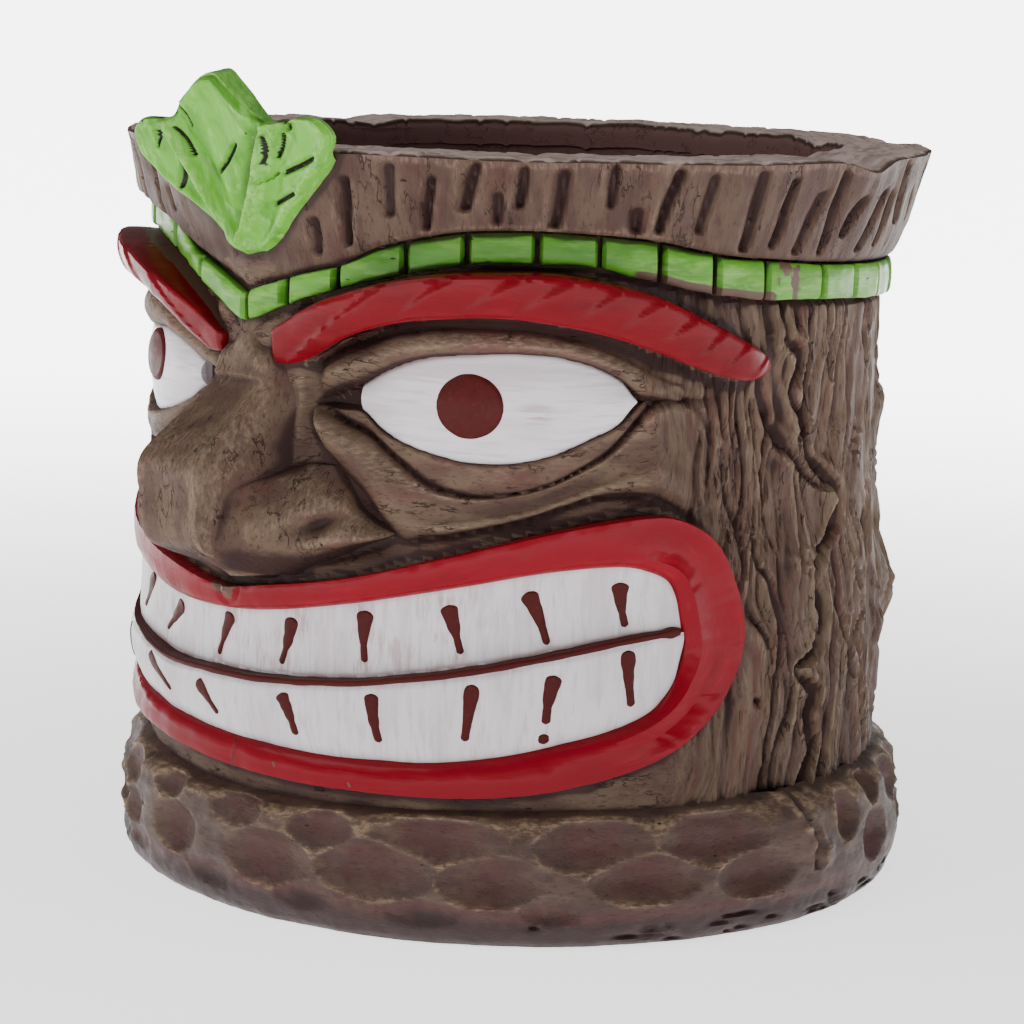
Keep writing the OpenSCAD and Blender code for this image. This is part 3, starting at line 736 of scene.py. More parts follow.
def lips():
    """The closed red ring round the teeth, with the paint's chips and the drip on its upper edge."""
    rows = ring_rows(MOUTH, 760)
    profile = path(LIP_PROFILE, 44)
    u, drop = profile[:, 0], profile[:, 1]
    a = rows[:, [0]] + (rows[:, [2]] - rows[:, [0]]) * u
    z = rows[:, [1]] + (rows[:, [3]] - rows[:, [1]]) * u
    corner = step(abs(rows[:, [0]]), 56, 70)
    dish = corner * (0.75 * bell((u - 0.42) / 0.2, 1) - 0.35 * bell((u - 0.76) / 0.07, 1))
    r = curve(LIP_R, abs(a)) + drop - dish
    p = on_wall(a, z, r)
    front = step(np.broadcast_to(drop, z.shape), -2, -0.5)
    r = r + front * (hand_cut(p, 4.5, 0.17, 91) + 0.09 * noise(p / 1.2, 92))
    nicks = front * 0.5 * step(noise(p / 3.1, 93), 0.62, 0.8)
    away = np.hypot(degrees_to_mm(a + 2.0) / 1.35, np.minimum(z - 44.6, 0) / 1.7) + 0.2 * noise(p / 1.1, 96)
    drip = step(away, 1.1, 0.85)
    r = r + front * (0.6 * step(away, 1.15, 0.4) - 0.4 * bell(away - 1.35, 0.25))
    face = on_wall(a, z, r - nicks)
    off_notch = abs(degrees_to_mm(a + 5.2 + 0.9 * (z - 45))) + 0.3 * noise(p / 0.9, 97)
    notch = step(off_notch, 1.1, 0.7) * step(z, 43.2, 43.9)
    chips = step(noise(p / 1.3, 94), 0.66, 0.74) * step(z, 24, 22)
    bare = np.clip(drip + notch * 0.9 + 0.8 * chips, 0, 1)
    run = np.linspace(0, 330, len(rows))[:, None]
    width = np.hypot(degrees_to_mm(rows[:, [2]] - rows[:, [0]]), rows[:, [3]] - rows[:, [1]])
    flow = np.stack(np.broadcast_arrays(u * width, 3.0 + 0 * z, run * 0.16), -1)
    return [Shell(face, embed(face, 50.0), wrap=True, flow=flow, soiled_and_shaded=bare * front)]


def gap_line(gap):
    """The slightly bent line of a mark between two teeth."""
    (a, z), (b, y) = gap
    t = np.linspace(0, 1, 9)
    bend = 0.25 * np.sin(math.pi * t) * math.cos(7 * a)
    return [(a + (b - a) * k + w, z + (y - z) * k) for k, w in zip(t, bend)]


def left_side(a):
    """1 round the left of the mouth, where the teeth are rounder."""
    return step(a, -18, -44)


def teeth_r(a, z):
    """Radius of the two bulging rows of teeth, with a shallow groove at each mark."""
    bite = curve(BITE, a)
    upward = share(z, curve(TEETH_TOP, a) + 0.6, bite + 0.45)
    downward = share(bite - 0.45 - z, 0, bite - curve(TEETH_FOOT, a))
    left = left_side(a)
    up = curve(UPPER_BULGE, upward) * (1 - left) + curve(LEFT_UPPER_BULGE, upward) * left
    down = curve(LOWER_BULGE, downward) * (1 - left) + curve(LEFT_LOWER_BULGE, downward) * left
    ends = 1 - 0.8 * np.clip(abs(a) / 67, 0, 1) ** 7
    p = on_wall(a, z, TRUNK_R)
    crooked = hand_cut(p, 6, 0.22, 95)
    out = TEETH_EDGE_R + TEETH_BULGE * ends * np.where(z > bite, up, down) + crooked
    for gap in UPPER_GAPS + LOWER_GAPS:
        out = out - 0.22 * bell(near_path(a, z, gap_line(gap), 4), 1.3)
    return out


def teeth(low, high, seed, tint=0.0):
    """A row of teeth between two lines; the last argument is how much painted shade, in blotches, it has
    left of its right end.
    """
    a = fine_steps(-66.6, 66.6, 0.42)
    lo, hi = low(a), high(a)
    v = np.linspace(0, 1, 40)
    z = lo[:, None] + np.maximum(hi - lo, 0.2)[:, None] * v
    aa = a[:, None] + 0 * z
    r = teeth_r(aa, z) + 0.03 * noise(on_wall(aa, z, TRUNK_R) / (0.7, 0.7, 3), seed)
    face = on_wall(aa, z, r)
    smear_and_shade = 0.5 * step(noise(on_wall(aa, z, TRUNK_R) / (7, 7, 5), seed + 1), 0.2, 0.8)
    blotches = step(noise(on_wall(aa, z, TRUNK_R) / (4, 4, 3), seed + 2), -0.5, 0.4)
    # on the row's left, blotches painted darker as painted shade, where the nose and upper lip shade the
    # upper row
    smear_and_shade = smear_and_shade + tint * step(aa, 62, 24) * blotches
    near_gap = np.zeros_like(z)
    for gap in UPPER_GAPS + LOWER_GAPS:
        near_gap = np.maximum(near_gap, bell(near_path(aa, z, gap_line(gap), 4), 1.5))
    flow = strip_flow(z, degrees_to_mm(aa), 0.22)
    soiled_and_shaded = np.clip(smear_and_shade * 0.5 + 0.35 * near_gap, 0, 1)
    return [Shell(face, embed(face, HIDDEN_R), flow=flow, soiled_and_shaded=soiled_and_shaded)]


BITE_HALF = 0.42             # half the width of the bite line
BITE_TUCK = BITE_HALF * 0.35   # how far the rows of teeth stop from its middle
LIP_TUCK = 0.45              # how far they go under the lips


def upper_teeth():
    return teeth(lambda a: curve(BITE, a) + BITE_TUCK,
                 lambda a: curve(TEETH_TOP, a) + LIP_TUCK, 97, tint=1.2)


def lower_teeth():
    return teeth(lambda a: curve(TEETH_FOOT, a) - LIP_TUCK,
                 lambda a: curve(BITE, a) - BITE_TUCK, 99)


def bite_line():
    a = fine_steps(-66, 66, 0.4)
    half = BITE_HALF * (1 + 0.2 * noise(on_wall(a, a * 0, 40) / 2.1, 101)) * (0.32 + 0.68 * step(a, -50, 5))
    half = half * (1 + 0.8 * bell(a - 64.6, 1.0))
    z0 = curve(BITE, a) + 0.1 * noise(on_wall(a, a * 0, 40) / 3.3, 102)
    t = np.linspace(-1, 1, 9)
    z = z0[:, None] + half[:, None] * t
    out = (0.84 - 0.26 * left_side(a)) * (1 - 0.8 * (abs(a) / 67) ** 7)
    r = TEETH_EDGE_R + TEETH_BULGE * out[:, None] + 0.14 * (1 - t * t)
    r = r + hand_cut(on_wall(a[:, None], z0[:, None], TRUNK_R), 6, 0.22, 95)
    face = on_wall(a[:, None], z, r)
    return [Shell(face, embed(face, 50.0), flow=strip_flow(degrees_to_mm(a[:, None]), z))]


def drop_shape(line, fat, thin, seed, proud=0.24, dot=False):
    """A drop of brown paint on the teeth: fat at the line's start and thin at its end, or a round dot."""
    p = path(line, 40)
    x, z = degrees_to_mm(p[:, 0]), p[:, 1]
    t = np.linspace(0, 1, 40)
    heading = np.arctan2(np.gradient(z), np.gradient(x))
    taper = thin + (fat - thin) * np.clip(1 - t * 1.5, 0, 1) ** 0.8
    half = taper * np.sqrt(np.clip(1 - (1 - t / 0.12).clip(0) ** 2, 0.02, 1))
    half = half * np.sqrt(np.clip(1 - ((t - 0.93) / 0.07).clip(0) ** 2, 0.05, 1))
    if dot:
        half = fat * np.sqrt(np.clip(1 - (2 * t - 1) ** 2, 0.01, 1))
    half = half * (1 + 0.18 * noise(np.column_stack([t * 6, t * 0 + seed, t]), 103))
    s = np.linspace(-1, 1, 9)
    px = x[:, None] - np.sin(heading)[:, None] * half[:, None] * s
    pz = z[:, None] + np.cos(heading)[:, None] * half[:, None] * s
    a = np.degrees(px / TRUNK_R)
    r = teeth_r(a, pz) + proud * (1 - s**2) * np.minimum(1, half[:, None] / 0.5)
    face = on_wall(a, pz, r)
    return Shell(face, embed(face, 51.0), flow=face)


def upper_gaps():
    return [drop_shape(gap_line(g), 1.25, 0.5, i) for i, g in enumerate(UPPER_GAPS)]


def lower_gaps():
    drops = [drop_shape(gap_line(g), 1.1, 0.55, 20 + i) for i, g in enumerate(LOWER_GAPS)]
    a, z = STRAY_DOT
    return drops + [drop_shape([(a, z + 0.75), (a, z), (a + 0.05, z - 0.75)], 0.78, 0.78, 31, dot=True)]


# --- Headband, crown and leaf -------------------------------------------------------------------------

BAND_TOP = [
    (0, 84.6), (1, 85.0), (9, 87.6), (16, 89.4), (22, 91.9), (28, 93.3), (33, 94.2), (39, 94.6),
    (44, 94.7), (50, 94.5), (55, 94.2), (61, 93.6), (67, 92.5), (74, 91.4), (81, 90.9), (92, 90.1),
    (112, 89.3), (180, 89.3),
]
BAND_FOOT = [
    (0, 81.0), (1, 81.3), (9, 84.3), (16, 86.4), (22, 87.9), (28, 89.1), (34, 90.2), (39, 90.5),
    (44, 90.5), (53, 90.2), (58, 89.2), (64, 88.0), (71, 86.7), (79, 85.9), (92, 85.4), (111, 84.5),
    (180, 84.7),
]
BAND_SPLITS = [-38, -25, -12, 0.4, 7, 15, 25, 34, 44, 53, 62, 71, 80, 92, 102, 111]
BAND_PITCH = 9.6
BAND_OUT, BAND_GAP = 1.35, 0.62
BLOCK_PROFILE = [
    (0.02, -0.6), (0.0, 0.1), (0.0, 0.62), (0.04, 0.86), (0.12, 0.97), (0.35, 1.02), (0.7, 1.0),
    (0.88, 0.95), (0.965, 0.82), (1.0, 0.58), (1.0, 0.1), (0.98, -0.6),
]


def band_splits():
    """Angles of the splits between blocks: the seen ones, then about even ones round the back."""
    rest = 360 + BAND_SPLITS[0] - BAND_SPLITS[-1]
    count = round(rest / BAND_PITCH)
    behind = [BAND_SPLITS[-1] + rest * k / count + 0.7 * math.sin(5.1 * k) for k in range(1, count)]
    return BAND_SPLITS + behind + [BAND_SPLITS[0] + 360]


def turned(a):
    """The same direction as an angle from -180 to 180."""
    return (np.asarray(a, float) + 180) % 360 - 180


def left_swell(a):
    """How far the band and the foot of the crown stand out further on the left, in mm."""
    return bell((a + 54) / 17, 1)


def band_block(start, stop, number):
    """One block of the headband, a little tilted and uneven, with its foot chipped towards the sides."""
    a = np.linspace(start, stop, max(8, int(degrees_to_mm(stop - start) / 0.42)))
    b = abs(turned(a))
    low, high = curve(BAND_FOOT, b), curve(BAND_TOP, b)
    end = np.minimum(degrees_to_mm(a - start), degrees_to_mm(stop - a))
    profile = path(BLOCK_PROFILE, 30)
    across, lift = profile[:, 0], profile[:, 1]
    wobble = 0.22 * noise(np.column_stack([a / 4, a * 0 + number, a * 0]), 111)
    low, high = low + wobble, high + 0.6 * wobble[::-1]
    z = low[:, None] + (high - low)[:, None] * across
    soft = np.sqrt(np.clip(1 - (1 - np.clip(end / 0.55, 0, 1)) ** 2, 0, 1))
    tilt = 0.25 * math.sin(2.3 * number) * np.linspace(-1, 1, len(a))
    out = (BAND_OUT + tilt) * (0.45 + 0.55 * soft)
    aa = turned(a)[:, None] + 0 * z
    r = wall_r(aa, z) + out[:, None] * lift + 2.0 * left_swell(aa)
    p = on_wall(aa, z, r)
    pits = 0.35 * step(noise(p / 1.2, 113), 0.6, 0.9)
    r = r + (hand_cut(p, 2.4, 0.16, 112) - pits) * step(lift, 0.2, 0.7)
    face = on_wall(aa, z, r)
    up = np.broadcast_to(across, z.shape) + 0.05 * noise(p / 1.5, 114)
    chipped = step(abs(aa), 56, 60) * step(abs(aa), 84, 80) * step(up, 0.27, 0.2)
    torn = bell((abs(aa) - 84.5) / 3.2, 1) * step(noise(p / 1.6, 115), -0.25, 0.15)
    flow = strip_flow(degrees_to_mm(a)[:, None], z, 0.3)
    return Shell(face, embed(face, HIDDEN_R), flow=flow, soiled_and_shaded=np.clip(chipped + torn, 0, 1))


def headband():
    edges = band_splits()
    half_gap = np.degrees(BAND_GAP / TRUNK_R) / 2
    return [band_block(p + half_gap, q - half_gap, i) for i, (p, q) in enumerate(zip(edges, edges[1:]))]


COLLAR = [
    (80, 52.0), (87, 52.3), (89.3, 52.6), (91.4, 53.6), (95, 55.1), (98, 56.0), (100.8, 56.9),
    (103, 57.6), (RIM_Z, COLLAR_R),
]
# The notches seen from the front: foot angle and height, then top angle and height
NOTCHES = [
    (12.3, 90.6, 12.9, 95.7), (17.2, 92.1, 18.2, 101.3), (23.8, 96.3, 24.5, 103.4),
    (29, 94.8, 30.1, 101.9), (34.4, 97.5, 35.8, 104.2), (38.7, 95.9, 38.6, 100.1),
    (41.5, 98.1, 42.2, 103.8), (46.2, 95.5, 47.5, 103.3), (53.4, 98.4, 54.1, 104.4),
    (57.7, 95.1, 57.4, 98.4), (60.7, 95.1, 62.7, 103.6), (66.6, 95.1, 67.9, 103.0),
    (74.4, 92.5, 75.2, 103.6), (79.2, 93, 80.6, 102.3), (84.1, 91.9, 86.9, 100.5),
    (89.5, 91.7, 90.2, 103.3), (93.6, 94, 95.8, 99.4), (100, 91.6, 102.5, 100.0),
    (105.1, 92.2, 105.5, 99.8),
]
NOTCH_PITCH = 5.9


def notch_list():
    """The seen notches, and others of the same kind carried on round the back."""
    rng = np.random.default_rng(7)
    found = list(NOTCHES)
    a = NOTCHES[-1][0] + NOTCH_PITCH
    while a < 346:
        short = rng.random() < 0.25
        top = rng.uniform(97.5, 100.5) if short else rng.uniform(101.5, 104)
        foot = rng.uniform(91.5, 96)
        turn = a + rng.uniform(-1, 1)
        found.append((turn, foot, turn + rng.uniform(-1.2, 1.2), top))
        a += NOTCH_PITCH * rng.uniform(0.85, 1.15)
    return found


# Corners of the crown's outline: angle, how far out, width in degrees
CROWN_CORNERS = [(95, 0.9, 4), (150, 1.0, 6), (-100, 0.7, 6), (110, -0.5, 8)]
# Dips in the rim: angle, depth, width in degrees
RIM_DIPS = [(96, 1.5, 4.5), (150, 0.9, 5), (-104, 0.8, 5)]


def bumps(a, rows):
    """The sum of the bell-shaped bumps in rows of (angle, height, width)."""
    return sum(high * bell((a - turn) / wide, 1) for turn, high, wide in rows)


def collar_r(a, z):
    """Radius of the flared collar, before its notches."""
    keel = KEEL_OUT * 0.7 * np.clip(1 - abs(a) / KEEL_TURN, 0, 1) ** 1.3
    wavy = 0.5 * noise(on_wall(a, 0 * z, 3.2), 121)
    swell = 1.3 * left_swell(a) * step(z, 103, 96)
    return curve(COLLAR, z) + keel + swell + (bumps(a, CROWN_CORNERS) + wavy) * step(z, 92, 104)


def notch_depth(a, z):
    """Depth of the notches, and 1 along the lip beside each."""
    deep = np.zeros(a.shape)
    near = np.zeros(a.shape)
    for i, (a0, z0, a1, z1) in enumerate(notch_list()):
        t = np.clip((z - z0) / (z1 - z0), -0.3, 1.3)
        middle = a0 + (a1 - a0) * t + 0.12 * np.sin(t * 4 + i)
        x = degrees_to_mm(turned(a - middle))
        half = 0.84 + 0.16 * math.sin(3.7 * i) - 0.4 * abs(t - 0.55)
        half = half * np.where(x > 0, 0.65, 1.3)
        ends = step(z, z0 - 0.5, z0 + 0.6) * step(z, z1 + 0.4, z1 - 0.9)
        deep = np.maximum(deep, ends * bell(x / half, 1) * (1.5 + 0.3 * math.sin(2.1 * i)))
        near = np.maximum(near, ends * bell((abs(x) - 1.25) / 0.7, 1))
    return deep, near


def rim_top(a):
    """Height of the rim."""
    return RIM_Z + 0.1 - bumps(a, RIM_DIPS) + 0.22 * noise(on_wall(a, 0 * a, 2.8), 123)


CROWN_COLUMNS, CROWN_SIDE_STEPS, CROWN_TOP_STEPS = 768, 44, 22
LEAF_SEAT, LEAF_SEAT_R, LEAF_SEAT_DEEP = (0.6, 100.5), 8.5, 2.4     # where the crown gives way to the leaf
NOTCH_TOP = 102.0            # the height at which the notches cut into the rim's edge


def crown():
    """The flared collar, with the flat rim turned in over the trunk's wall down to the bore."""
    a = turned(np.linspace(-180, 180, CROWN_COLUMNS, endpoint=False))
    foot = curve(BAND_TOP, abs(a)) + 0.35
    top = rim_top(a)
    v = np.linspace(0, 1, CROWN_SIDE_STEPS)[None, :]
    z = foot[:, None] + (top - 0.55 - foot)[:, None] * v
    aa = a[:, None] + 0 * z
    deep, lip = notch_depth(aa, z)
    p = on_wall(aa, z, TRUNK_R)
    pores = 0.5 * step(noise(p / 0.7, 125), 0.74, 0.92)
    grainy = 0.22 * layers(grain(aa, z, 2.6, 9), 126, 2) + 0.3 * hand_cut(p, 6, 0.6, 127)
    side_r = collar_r(aa, z) - deep + 0.06 * lip + grainy - pores
    side_r[:, :2] -= 0.5 * np.array([1.0, 0.4])
    off_leaf = np.hypot((p[..., 0] - LEAF_SEAT[0]) / LEAF_SEAT_R, (z - LEAF_SEAT[1]) / LEAF_SEAT_R)
    side_r -= LEAF_SEAT_DEEP * step(off_leaf, 1.0, 0.8) * step(abs(aa), 40, 30)
    w = np.linspace(0, 1, CROWN_TOP_STEPS + 1)[None, 1:]
    edge_r = side_r[:, -1:] - 0.25
    bore = BORE_R + 0.25 * noise(on_wall(a, 0 * a, 2.6), 128)[:, None]
    top_r = edge_r + (bore + 0.4 - edge_r) * w
    ta = a[:, None] + 0 * top_r
    tp = on_wall(ta, RIM_Z + 0 * top_r, top_r)
    cracks = 0.4 * bell(noise(tp / 3.4, 129), 0.08) * step(noise(tp / 7, 130), -0.3, 0.1)
    cracks = cracks + 0.25 * step(noise(tp / 1.1, 132), 0.66, 0.85)
    slits = notch_depth(ta, np.full(ta.shape, NOTCH_TOP))[0] * step(w, 0.22, 0.05)
    top_z = top[:, None] - 0.12 * w + hand_cut(tp, 4, 0.3, 131) + 0.04 * noise(tp / 1.3, 133)
    top_z = top_z - cracks - 0.25 * slits - 0.35 * bell(w / 0.045, 1)
    down = np.linspace(0, 1, 6)[None, 1:]
    bore_z = top_z[:, -1:] - 0.35 - 3.5 * down
    bore_r = bore + 0.15 * step(down, 0.5, 0)
    side = on_wall(aa, z, side_r)
    flat = on_wall(ta, top_z, top_r)
    inside = on_wall(a[:, None] + 0 * bore_z, bore_z, bore_r + 0 * bore_z - 0.12)
    face = np.concatenate([side, flat, inside], axis=1)
    back = np.stack([on_wall(a, 99.0, BORE_R + 1.6), on_wall(a, foot + 0.2, 49.5)], axis=1)
    flow = np.concatenate([grain(aa, z, 1, 3.2), flat, inside], axis=1)
    strokes = on_wall(ta, top_r, TRUNK_R) / (7, 7, 1.2)
    pale = 0.62 + 0.38 * step(layers(strokes, 134, 3), -0.5, 0.5)
    tint = np.concatenate([0 * z, -pale, 1 + 0 * bore_z], axis=1)
    return [Shell(face, back, wrap=True, flow=flow, soiled_and_shaded=tint)]


# The leaf lies in a leaning plane: sideways and up in mm. Its outline runs from the foot up the right side
LEAF = [
    (0.4, 89.8), (3.6, 90.4), (6.8, 92.4), (9.5, 95.2), (12.8, 98.6), (16.0, 101.9), (17.6, 103.9),
    (19.0, 106.6), (17.8, 108.2), (15.8, 108.7), (12.7, 108.1), (8.4, 107.6), (6.4, 108.7), (4.3, 110.4),
    (2.6, 111.8), (0.9, 113.3), (-0.6, 113.1), (-4.0, 111.0), (-5.8, 109.6), (-8.1, 107.3),
    (-10.6, 107.4), (-12.9, 107.2), (-14.8, 106.2), (-15.7, 104.5), (-15.3, 102.7), (-13.7, 100.9),
    (-11.4, 98.9), (-9.2, 97.3), (-6.6, 95.4), (-4.2, 93.3), (-2.2, 91.2),
]
LEAF_HEART = (0.6, 101.5)
LEAF_THICK = 4.4
LEAF_LEFT_VEIN = [(-0.2, 90.6), (-1.2, 93.1), (-3.5, 97.5), (-5.5, 101.1), (-7.5, 104.7), (-8.3, 107.2)]
LEAF_RIGHT_VEIN = [(-0.2, 90.6), (3.2, 95.3), (5.5, 99.2), (7.3, 103.0), (8.8, 105.6), (10.5, 107.6)]
LEAF_VALLEY = [(1.2, 94.2), (3.3, 99.4), (5.9, 104.4), (7.0, 107.2)]
LEAF_CUTS = [
    ((-5.6, 109.6), (-4.1, 106.7), 0.3), ((-7.0, 106.2), (-5.0, 102.8), 0.24), ((-11.2, 105.4),
    (-11.6, 103.5), 0.3), ((-8.2, 101.3), (-8.6, 98.3), 0.4), ((9.3, 105.9), (7.8, 102.3), 0.3),
    ((11.4, 106.3), (9.6, 103.3), 0.28), ((10.4, 101.3), (16.0, 103.5), 0.36), ((7.5, 97.1),
    (11.4, 98.6), 0.36), ((2.8, 104.5), (-1.0, 100.8), 0.3), ((6.1, 99.6), (8.9, 101.2), 0.16),
    ((-3.0, 95.4), (-6.2, 100.4), 0.22), ((12.5, 107.2), (12.4, 107.9), 0.3),
]


def leaf_plane(x, z):
    """How far forward (-Y) the middle of the leaf's front lies."""
    return 56.3 + (z - 91) * 0.33 - 0.08 * x - 0.05 * abs(x)


def flat_distance(x, z, points, count=60):
    """Distance in the leaf's plane to the curve through points."""
    line = path(points, count)
    d = np.hypot(x[..., None] - line[:, 0], z[..., None] - line[:, 1])
    return d.min(axis=-1)


def leaf_relief(x, z, edge):
    """Height of the leaf's front over its plane; edge is the distance to the outline."""
    left, right = flat_distance(x, z, LEAF_LEFT_VEIN), flat_distance(x, z, LEAF_RIGHT_VEIN)
    valley = flat_distance(x, z, LEAF_VALLEY)
    veins = np.maximum(1.6 * bell(left, 0.9), 1.7 * bell(right, 0.9))
    out = veins * step(z, 89.5, 93) - 0.6 * bell(valley, 1.1)
    out -= 0.8 * bell(left - 2.3, 1.2) * step(x, 0.5, -2) + 0.6 * bell(right - 2.4, 1.1)
    out += 0.5 * bell(edge - 0.8, 0.9) - 0.75 * bell(edge, 0.35)
    centre = x - 0.3 - 0.03 * (z - 98)
    out -= 0.7 * bell(centre, 3.2) * step(z, 98, 102)
    cut_mask = np.zeros(x.shape)
    for start, stop, half in LEAF_CUTS:
        line = [start, ((start[0] + stop[0]) / 2 + 0.15, (start[1] + stop[1]) / 2), stop]
        d = flat_distance(x, z, line, 24)
        cut = bell(d, half)
        out -= 0.7 * cut
        out += 0.1 * bell(d - 2.2 * half, half)
        if half > 0.23:
            cut_mask = np.maximum(cut_mask, step(d, half * 1.15, half * 0.55))
    p = np.stack([x, 0 * x, z], axis=-1)
    strokes = noise(np.stack([(x + 0.3 * (z - 91)) / 0.8, 0 * x, (z - 0.3 * x) / 5], -1), 141)
    return out + 0.16 * noise(p / 3.0, 142) + 0.07 * strokes, cut_mask


def leaf():
    """The leaf: its front from the heart out to the outline, then its thick side and its back."""
    outline = path(LEAF + LEAF[:1], 421)[:-1]
    ragged = 1 + 0.006 * noise(np.column_stack([outline / 1.3, outline[:, 0] * 0]), 143)
    share_out = np.concatenate([[0.004], np.linspace(0.03, 0.9, 34), [0.93, 0.955, 0.975, 0.99, 1.0]])
    heart = np.array(LEAF_HEART)
    flat = heart + (outline - heart)[:, None, :] * share_out[None, :, None] * ragged[:, None, None]
    x, z = flat[..., 0], flat[..., 1]
    edge = (np.hypot(*(outline - heart).T)[:, None]) * (1 - share_out)
    relief_out, cuts = leaf_relief(x, z, edge)
    y = -(leaf_plane(x, z) + relief_out)
    front = np.stack([x, y, z], axis=-1)
    ex, ez = x[:, -1:], z[:, -1:]
    free = step(ez, 101.5, 104.5)
    thick = LEAF_THICK * (1 - free) + (1.5 + 2.9 * bell(ex - 1.5, 6.5)) * free
    down = np.linspace(0.1, 1, 7)
    depth = thick * down
    side_y = -(leaf_plane(ex, ez) - depth + relief_out[:, -1:] * step(down, 0.35, 0))
    swell = 1 + 0.012 * bell(down - 0.4, 0.35)
    rise = 1.0 * down * bell(ex - 1.0, 7) * free
    side_x, side_z = heart[0] + (ex - heart[0]) * swell, heart[1] + (ez - heart[1]) * swell + rise
    side = np.stack([side_x, side_y, side_z], axis=-1)
    inward = np.array([[0.8, 0.01]])
    back_x, back_z = heart[0] + (ex - heart[0]) * inward, heart[1] + (ez - heart[1]) * inward
    back_y = -(leaf_plane(back_x, back_z) - LEAF_THICK - 0.3)
    behind = np.stack([back_x, back_y, back_z], axis=-1)
    face = np.concatenate([front, side], axis=1)
    soiled_and_shaded = np.concatenate([cuts, 0 * side[..., 0]], axis=1)
    flow = np.stack([face[..., 0] + 0.3 * (face[..., 2] - 91), face[..., 1], face[..., 2] * 0.3], -1)
    shell = Shell(face, behind, wrap=True, flow=flow, soiled_and_shaded=soiled_and_shaded)
    shell.open_ends = True
    # The leaf's own relief sets how recessed it reads: its valleys get painted shade, and its ridges and
    # side the pale dry brush, partly painted highlight.
    shell.recess = np.concatenate([-0.5 * relief_out, 0 * side[..., 0] - 0.15, 0 * behind[..., 0]], axis=1)
    return [shell]


# --- Trunk and plinth ---------------------------------------------------------------------------------

WALL_FROM, WALL_TO = 14.0, 101.0     # heights between which the wall has its fine rows
TRUNK_COLUMNS, TRUNK_ROWS = 574, 152
IN_PLINTH_R, IN_CROWN_R = 51.0, 51.2   # radius of the trunk where the plinth and the crown hide it


def trunk_columns():
    """Angles round the trunk, closer together on the bark that is seen from the front."""
    a = np.linspace(-180, 180, 3601)
    density = 0.75 + 0.85 * step(a, 56, 62) * step(a, 108, 102) + 0.2 * step(abs(a), 62, 56)
    run = np.concatenate([[0], np.cumsum((density[1:] + density[:-1]) / 2)])
    return np.interp(np.linspace(0, run[-1], TRUNK_COLUMNS, endpoint=False), run, a)


def band_channel(a, z):
    """The shallow channel that the headband's blocks lie in."""
    middle = (curve(BAND_TOP, abs(a)) + curve(BAND_FOOT, abs(a))) / 2
    return 0.8 * step(abs(z - middle), 3.4, 2.5)


def trunk():
    """The wall outside, over the rim under the crown, and down the bore to its floor."""
    a = trunk_columns()
    z = np.concatenate([[0.35, 6.0], np.linspace(WALL_FROM, WALL_TO, TRUNK_ROWS)])
    aa, zz = np.meshgrid(a, z, indexing="ij")
    r = face_r(aa, zz) - 1.3 * under_cover(aa, zz) - band_channel(aa, zz)
    r[:, :2] = IN_PLINTH_R
    lowered = step(zz, 92, 98)
    r = r * (1 - lowered) + IN_CROWN_R * lowered
    outer = on_wall(aa, zz, r)
    bore_z = [RIM_Z - 1.6, RIM_Z - 3.0, 96, 90, 80, 68, 56, 44, 32, 22, 14]
    bore_z = np.array(bore_z + [FLOOR_Z + 3, FLOOR_Z + 0.8, FLOOR_Z])
    bore_r = BORE_R + 0.12 * np.sin(np.linspace(0, 9, len(bore_z)))
    bore_r[-2:] = BORE_R - 0.5, BORE_R - 2.5
    ba, bz = np.meshgrid(a, bore_z, indexing="ij")
    p = on_wall(ba, bz, BORE_R)
    ripple = 0.25 * noise(p / 14, 151)
    bore = on_wall(ba, bz, bore_r + ripple)
    face = np.concatenate([outer, bore], axis=1)
    tint = np.concatenate([0 * zz, 1 + 0 * bz], axis=1)
    flow = np.concatenate([trunk_flow(aa, zz), bore], axis=1)
    shell = Shell(face, bore[:, -1:] * (0.4, 0.4, 1), wrap=True, flow=flow, soiled_and_shaded=tint)
    shell.open_ends = True
    return [shell]


def trunk_flow(a, z):
    """Grain runs up the bark and round the smooth face."""
    up = bark_share(a, z)[..., None]
    return grain(a, z, 1.0, 6.0) * up + on_wall(a, z, TRUNK_R) * (0.3, 0.3, 1) * (1 - up)


PLINTH = [
    (0, 55.6), (0.7, 56.4), (1.8, 57.0), (4, 57.5), (7, PLINTH_R + 0.1), (10.6, 57.7), (13.5, 57.5),
    (15.4, 57.0), (16.6, 56.0), (17.6, 54.6), (18.4, 53.0),
]
# Hollows seen from the front: angle, height, half width, half height
HOLLOWS = [
    (-25.2, 17.5, 1.3, 2.3), (-14.1, 15.2, 3.3, 1.9), (1.4, 15.3, 4.4, 2.5), (-11.6, 9.4, 4.2, 3.1),
    (7.8, 9.1, 5.8, 3.3), (15.8, 14.4, 4.2, 2.7), (24.4, 9.8, 7.0, 3.4), (32.6, 14.4, 8.0, 2.9),
    (40, 9.3, 5.8, 3.1), (53.9, 14.2, 6.6, 3.2), (71.8, 14.2, 7.0, 3.2), (61.3, 9.5, 6.6, 2.9),
    (106.6, 16.2, 2.4, 2.6), (106.8, 8.9, 3.7, 3.3), (97.5, 13.5, 2.6, 3.0), (78.5, 8.6, 5.6, 2.8),
    (48.5, 5.5, 3.6, 1.8), (14, 5.0, 4.0, 1.8), (31, 4.6, 4.4, 1.7), (-3, 4.8, 3.8, 1.8),
]
PLINTH_NICKS = 26            # the small nicks along the foot
PLINTH_COLUMNS, PLINTH_ROWS = 726, 40


